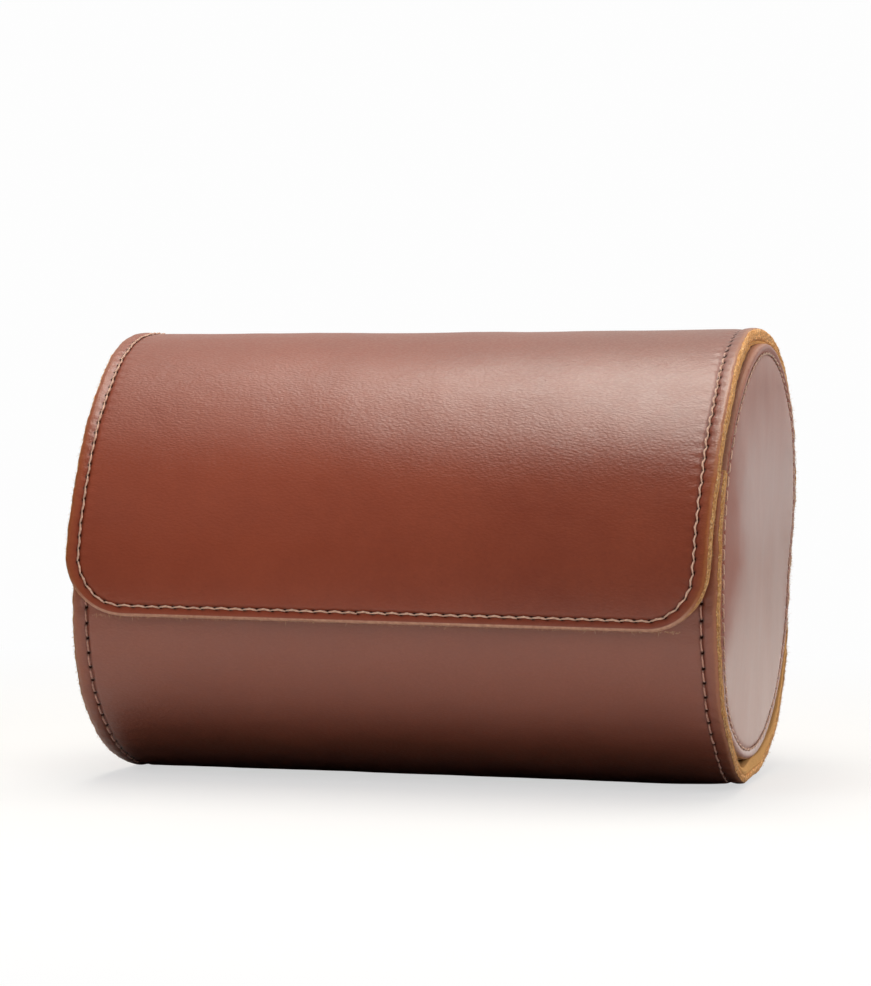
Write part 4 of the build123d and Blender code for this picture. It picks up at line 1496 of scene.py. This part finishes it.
def build_foam():
    """Foam between the cradle and the wrap."""
    runs = np.linspace(0.15, RUN_HINGE - 0.15, 170)
    normal = np.stack(outline_normal(runs), 1)
    normal /= np.hypot(*normal.T)[:, None]
    outer = np.stack(outline_point(runs), 1) - normal * (WRAP_T + 0.12)
    spoke = outer - CRADLE_CENTRE
    reach = np.hypot(*spoke.T)
    inner_r = np.minimum(DISC_R + 0.08, reach - 0.12)
    inner = CRADLE_CENTRE + spoke / reach[:, None] * inner_r[:, None]
    ob = make_strip("foam_pad", outer, inner, MAT_FOAM, columns=60, half=PAD_HALF,
                    roughness=0.03, seed=43)
    settle(ob, "cradle_padding")


build_cradle_cover()
build_foam()

# ----------------------------------------------------------------- elastic bands
LOOP_STEP = LOOP_PITCH / WALL_R / RAD
FIRST_TACK = -90.0 + LOOPS * LOOP_PITCH / WALL_R / RAD / 2
TACK_HALF = TACK_W / WALL_R / RAD / 2


def three_point_arc(start, middle, end, count):
    (ax, ay), (bx, by), (cx, cy) = start, middle, end
    double = 2 * (ax * (by - cy) + bx * (cy - ay) + cx * (ay - by))
    a_sq, b_sq, c_sq = ax * ax + ay * ay, bx * bx + by * by, cx * cx + cy * cy
    y = (a_sq * (by - cy) + b_sq * (cy - ay) + c_sq * (ay - by)) / double
    z = (a_sq * (cx - bx) + b_sq * (ax - cx) + c_sq * (bx - ax)) / double
    angles = [math.atan2(point[1] - z, point[0] - y) for point in (start, middle, end)]
    sweep = sum((b - a + math.pi) % TURN - math.pi for a, b in zip(angles, angles[1:]))
    angle = angles[0] + sweep * np.linspace(0, 1, count)
    radius = math.hypot(ax - y, ay - z)
    return np.array([y, z]) + radius * np.stack([np.cos(angle), np.sin(angle)], 1)


def band_path():
    """Middle of the band in (y, z): flat at each tack, arched between them."""
    flat_r = WALL_R - 0.55
    parts = []
    for i in range(LOOPS + 1):
        tack = FIRST_TACK - i * LOOP_STEP
        leave = tack - TACK_HALF
        parts.append(cradle_arc(flat_r, np.linspace(tack + TACK_HALF, leave, 7)))
        if i < LOOPS:
            after = tack - LOOP_STEP
            top = cradle_arc(WALL_R - LOOP_H - 0.5, (tack + after) / 2)
            parts.append(three_point_arc(cradle_arc(flat_r, leave), top,
                                         cradle_arc(flat_r, after + TACK_HALF), 26)[1:-1])
    path = np.concatenate(parts)
    for _ in range(3):
        path[1:-1] = 0.25 * path[:-2] + 0.5 * path[1:-1] + 0.25 * path[2:]
    return path


def build_bands():
    path = band_path()
    length = np.concatenate([[0], np.cumsum(np.hypot(*np.diff(path, axis=0).T))])
    rows = 520
    along = np.linspace(0, length[-1], rows)
    middle = np.stack([np.interp(along, length, path[:, k]) for k in (0, 1)], 1)
    tangent = np.gradient(middle, axis=0)
    tangent /= np.hypot(*tangent.T)[:, None]
    inward = np.stack([-tangent[:, 1], tangent[:, 0]], 1)
    inward = inward * np.sign(inward[rows // 2] @ (CRADLE_CENTRE - middle[rows // 2]))

    share = np.linspace(-1, 1, 61)
    columns = len(share)
    across = share * (BAND_W / 2 - 0.1)
    edge = 1 - np.clip((np.abs(share) - 0.955) / 0.045, 0, 1) ** 2 * 0.75
    rib = 0.055 * np.cos(across * TURN / 0.9)
    weave = (0.05 * np.sin(along * TURN / 1.1)[:, None]
             * np.cos(across * TURN / 1.8)[None])
    along_grid, across_grid = np.meshgrid(along, across, indexing="ij")

    # rim faces join the top grid to the bottom one
    under = rows * columns
    left = np.arange(rows - 1) * columns
    right = left + columns - 1
    first = np.arange(columns - 1)
    last = first + (rows - 1) * columns
    walls = [(left, left + under, left + columns + under, left + columns),
             (right, right + columns, right + columns + under, right + under),
             (first, first + 1, first + 1 + under, first + under),
             (last, last + under, last + 1 + under, last + 1)]
    top = grid_quads(rows, columns)
    all_faces = np.concatenate([top, top[:, ::-1] + under] + [np.stack(w, 1) for w in walls])

    for side, name in SIDES:
        bow = 0.3 * 0.10 * sheet_noise(across_grid, along_grid, 7.0, 50 + side)
        x = side * BAND_X + across_grid
        layers = []
        for height in (0.40 * edge + rib + weave + bow, -0.40 * edge - rib * 0.5 + bow):
            y, z = (middle[:, k][:, None] + inward[:, k][:, None] * height for k in (0, 1))
            layers.append(np.stack([x, y, z], -1).reshape(-1, 3))
        points = np.concatenate(layers)
        faces = all_faces
        face = points[faces[len(top) // 2]]
        normal = np.cross(face[2] - face[0], face[3] - face[1])
        if normal[1:] @ inward[rows // 2] < 0:
            faces = faces[:, ::-1]
        uvs = np.stack([x - side * BAND_X, along_grid], -1).reshape(-1, 2)
        ob = make_object("elastic_" + name, points, [faces], MAT_ELASTIC,
                         uvs=np.concatenate([uvs, uvs]), leaned=True)
        settle(ob, "loop_band_" + name)


def build_tacks():
    """Close zigzag stitches across the bands."""
    threads = Threads()
    count, width = 16, BAND_W - 3
    swing = 0.9 / WALL_R / RAD
    share = np.linspace(0, 1, 7)
    for side in (-1, 1):
        for i in range(LOOPS + 1):
            tack = FIRST_TACK - i * LOOP_STEP
            for j in range(count):
                start = side * BAND_X - width / 2 + width * j / count
                angle = tack + swing * (1 if j % 2 else -1) * (1 - 2 * share)
                arc = cradle_arc(WALL_R - 1.02 - 0.16 * np.sin(math.pi * share) + 0.12, angle)
                path = np.column_stack([start + width / count * share, arc])
                # painted shade at each zigzag's two ends
                threads.add(path, 0.15, 6, lambda k: (1 - plateau(k, 0.0, 0.15)) * 0.7)
    settle(threads.make("tack_thread", MAT_TACK, leaned=True), "loop_stitching")


def build_cradle_shell():
    """The cradle's board, under its suede cover."""
    angles = np.linspace(CRADLE_FRONT - 0.1, CRADLE_BACK + 0.1, ARC_COUNT)
    ob = make_strip("cradle_shell", cradle_arc(DISC_R - 0.02, angles),
                    cradle_arc(BOARD_IN_R + 0.03, angles), MAT_BOARD, columns=60,
                    half=CRADLE_HALF - 0.04, roughness=0.0, seed=45)
    settle(ob, "cradle_board")


build_bands()
build_tacks()
build_cradle_shell()

# the magnets keep their CAD shapes
for name in ("lip_magnets", "flap_magnets"):
    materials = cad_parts[name].data.materials
    materials.clear()
    materials.append(MAT_MAGNET)

# ------------------------------------------------------------------------ studio
scene = bpy.context.scene
scene.view_settings.view_transform = "Standard"
scene.view_settings.look = "None"
scene.view_settings.exposure = 0.0
BACKDROP = (0.985, 0.985, 0.985)


def grey(level):
    return (level, level, level)


def make_floor_material():
    """Pale floor that fades into the backdrop and shows the case a darker one.  In metres."""
    mat = material("pale_floor")
    position = mat.position()
    mottle = mat.noise(position, scale=3.0, detail=2)
    camera_ray, diffuse_ray = mat.values("LightPath", {}, "Is Camera Ray", "Is Diffuse Ray")
    x, y, _ = mat.split(position)
    # glossy rays see it fade out in front, as on a small table
    front = mat.rise(y * -1.0, 0.095, 0.17)
    # painted shade: to rays from the case, the floor is near black in a strip under the case
    off_middle = abs(y + 0.002)
    under = mat.mix(diffuse_ray, mat.fade(off_middle, 0.024, 0.044),
                    mat.fade(off_middle, 0.041, 0.067))
    beside = mat.rise(abs(x), 0.066, 0.076)
    glossy = mat.mix(front, grey(0.93), grey(0.04))
    diffuse = mat.mix(beside, grey(0.88), grey(0.32))
    seen = mat.mix(diffuse_ray, glossy, diffuse)
    seen = mat.mix(under * (1.0 - beside), seen, grey(0.03))
    shade = mat.mix(camera_ray, seen, grey(0.93))
    body = mat.principled(Base_Color=mat.mix(mottle * 0.03, shade, grey(0.8)),
                          Roughness=0.95, Specular_IOR_Level=0.0)
    # distance out from the strip the case stands on
    out_x = mat.math("MAXIMUM", abs(x) - 0.068, 0.0)
    out_y = mat.math("MAXIMUM", abs(y) - 0.012, 0.0)
    away = mat.math("SQRT", out_x * out_x + out_y * out_y)
    far = mat.math("MAXIMUM", mat.rise(away, 0.002, 0.055, last=0.60),
                   mat.rise(away, 0.05, 0.30, first=0.60))
    glow = mat.value("Emission", {0: BACKDROP, 1: 1.0})
    return mat.finish(mat.value("MixShader", {0: far * camera_ray, 1: body, 2: glow}))


def build_floor():
    half = 5.0
    mesh = bpy.data.meshes.new("floor")
    corners = [(-half, -half, 0), (half, -half, 0), (half, half, 0), (-half, half, 0)]
    mesh.from_pydata(corners, [], [(0, 1, 2, 3)])
    floor = bpy.data.objects.new("floor", mesh)
    scene.collection.objects.link(floor)
    mesh.materials.append(make_floor_material())


def build_world():
    """Plain to the camera; to the case, brighter toward the back and the right."""
    scene.world = bpy.data.worlds.new("studio")
    sky = Shader(scene.world, "OutputWorld")
    x, y, _ = sky.split(sky.value("TexCoord", {}, output="Generated"))
    toward_back = sky.rise(y, -0.10, 0.55, first=0.03, last=0.93)
    toward_right = sky.rise(x, -0.12, 0.22, first=0.72, last=1.40)
    strength = sky.value("Math", {0: toward_back, 1: toward_right}, operation="MULTIPLY")
    lit = sky.value("Background", {0: (1.0, 0.945, 0.86), 1: strength})
    plain = sky.value("Background", {0: BACKDROP, 1: 1.0})
    camera_ray = sky.value("LightPath", {}, output="Is Camera Ray")
    sky.finish(sky.value("MixShader", {0: camera_ray, 1: lit, 2: plain}))


def aim(ob, direction):
    ob.rotation_mode = "QUATERNION"
    ob.rotation_quaternion = direction.to_track_quat("-Z", "Y")


def softbox(name, location, size, power, target=None, color=(1, 1, 1)):
    """Rectangular light facing target, or straight down without one."""
    light = bpy.data.lights.new(name, "AREA")
    light.shape = "RECTANGLE"
    light.size, light.size_y = size
    light.energy = power
    light.color = color
    ob = bpy.data.objects.new(name, light)
    ob.location = location
    if target is not None:
        aim(ob, Vector(target) - Vector(location))
    scene.collection.objects.link(ob)
    return ob


def build_lights():
    top = softbox("top_box", (-0.020, -0.088, 0.72), size=(0.35, 0.74), power=4.1,
                  color=(1.0, 0.95, 0.86))
    top.rotation_euler = (0.0, 0.0, 13.0 * RAD)
    softbox("right_box", (0.70, -0.38, 0.32), size=(0.5, 0.6), power=2.7,
            target=(0.0, 0.0, 0.05))
    fill = softbox("left_fill", (-0.50, -0.62, 0.42), size=(0.5, 0.5), power=2.05,
                   target=(0.0, 0.0, 0.05))
    fill.visible_glossy = False
    card = softbox("rear_card", (0.27, 0.80, 0.03), size=(0.40, 0.22), power=0.10,
                   target=(0.07, 0.0, 0.045))
    card.visible_diffuse = False
    card.visible_camera = False


def build_camera():
    azimuth, pitch = 16.2 * RAD, 2.1 * RAD    # to the right of the front, and looking down
    distance = 0.715
    centre = Vector((0.0, 0.0, 0.0475))
    # slopes from the lens axis to the centre of the case
    slope_right, slope_down = 0.003282675, 0.01851064
    camera = bpy.data.cameras.new("camera")
    camera.sensor_width = 36.0
    camera.lens = 120.1217
    camera.clip_start, camera.clip_end = 0.01, 50.0
    ob = bpy.data.objects.new("camera", camera)
    scene.collection.objects.link(ob)
    forward = Vector((-math.sin(azimuth) * math.cos(pitch),
                      math.cos(azimuth) * math.cos(pitch), -math.sin(pitch)))
    right = Vector((math.cos(azimuth), math.sin(azimuth), 0.0))
    up = right.cross(forward)
    to_centre = (forward + right * slope_right - up * slope_down).normalized()
    ob.location = centre - to_centre * distance
    aim(ob, forward)
    scene.camera = ob


build_floor()
build_world()
build_lights()
build_camera()
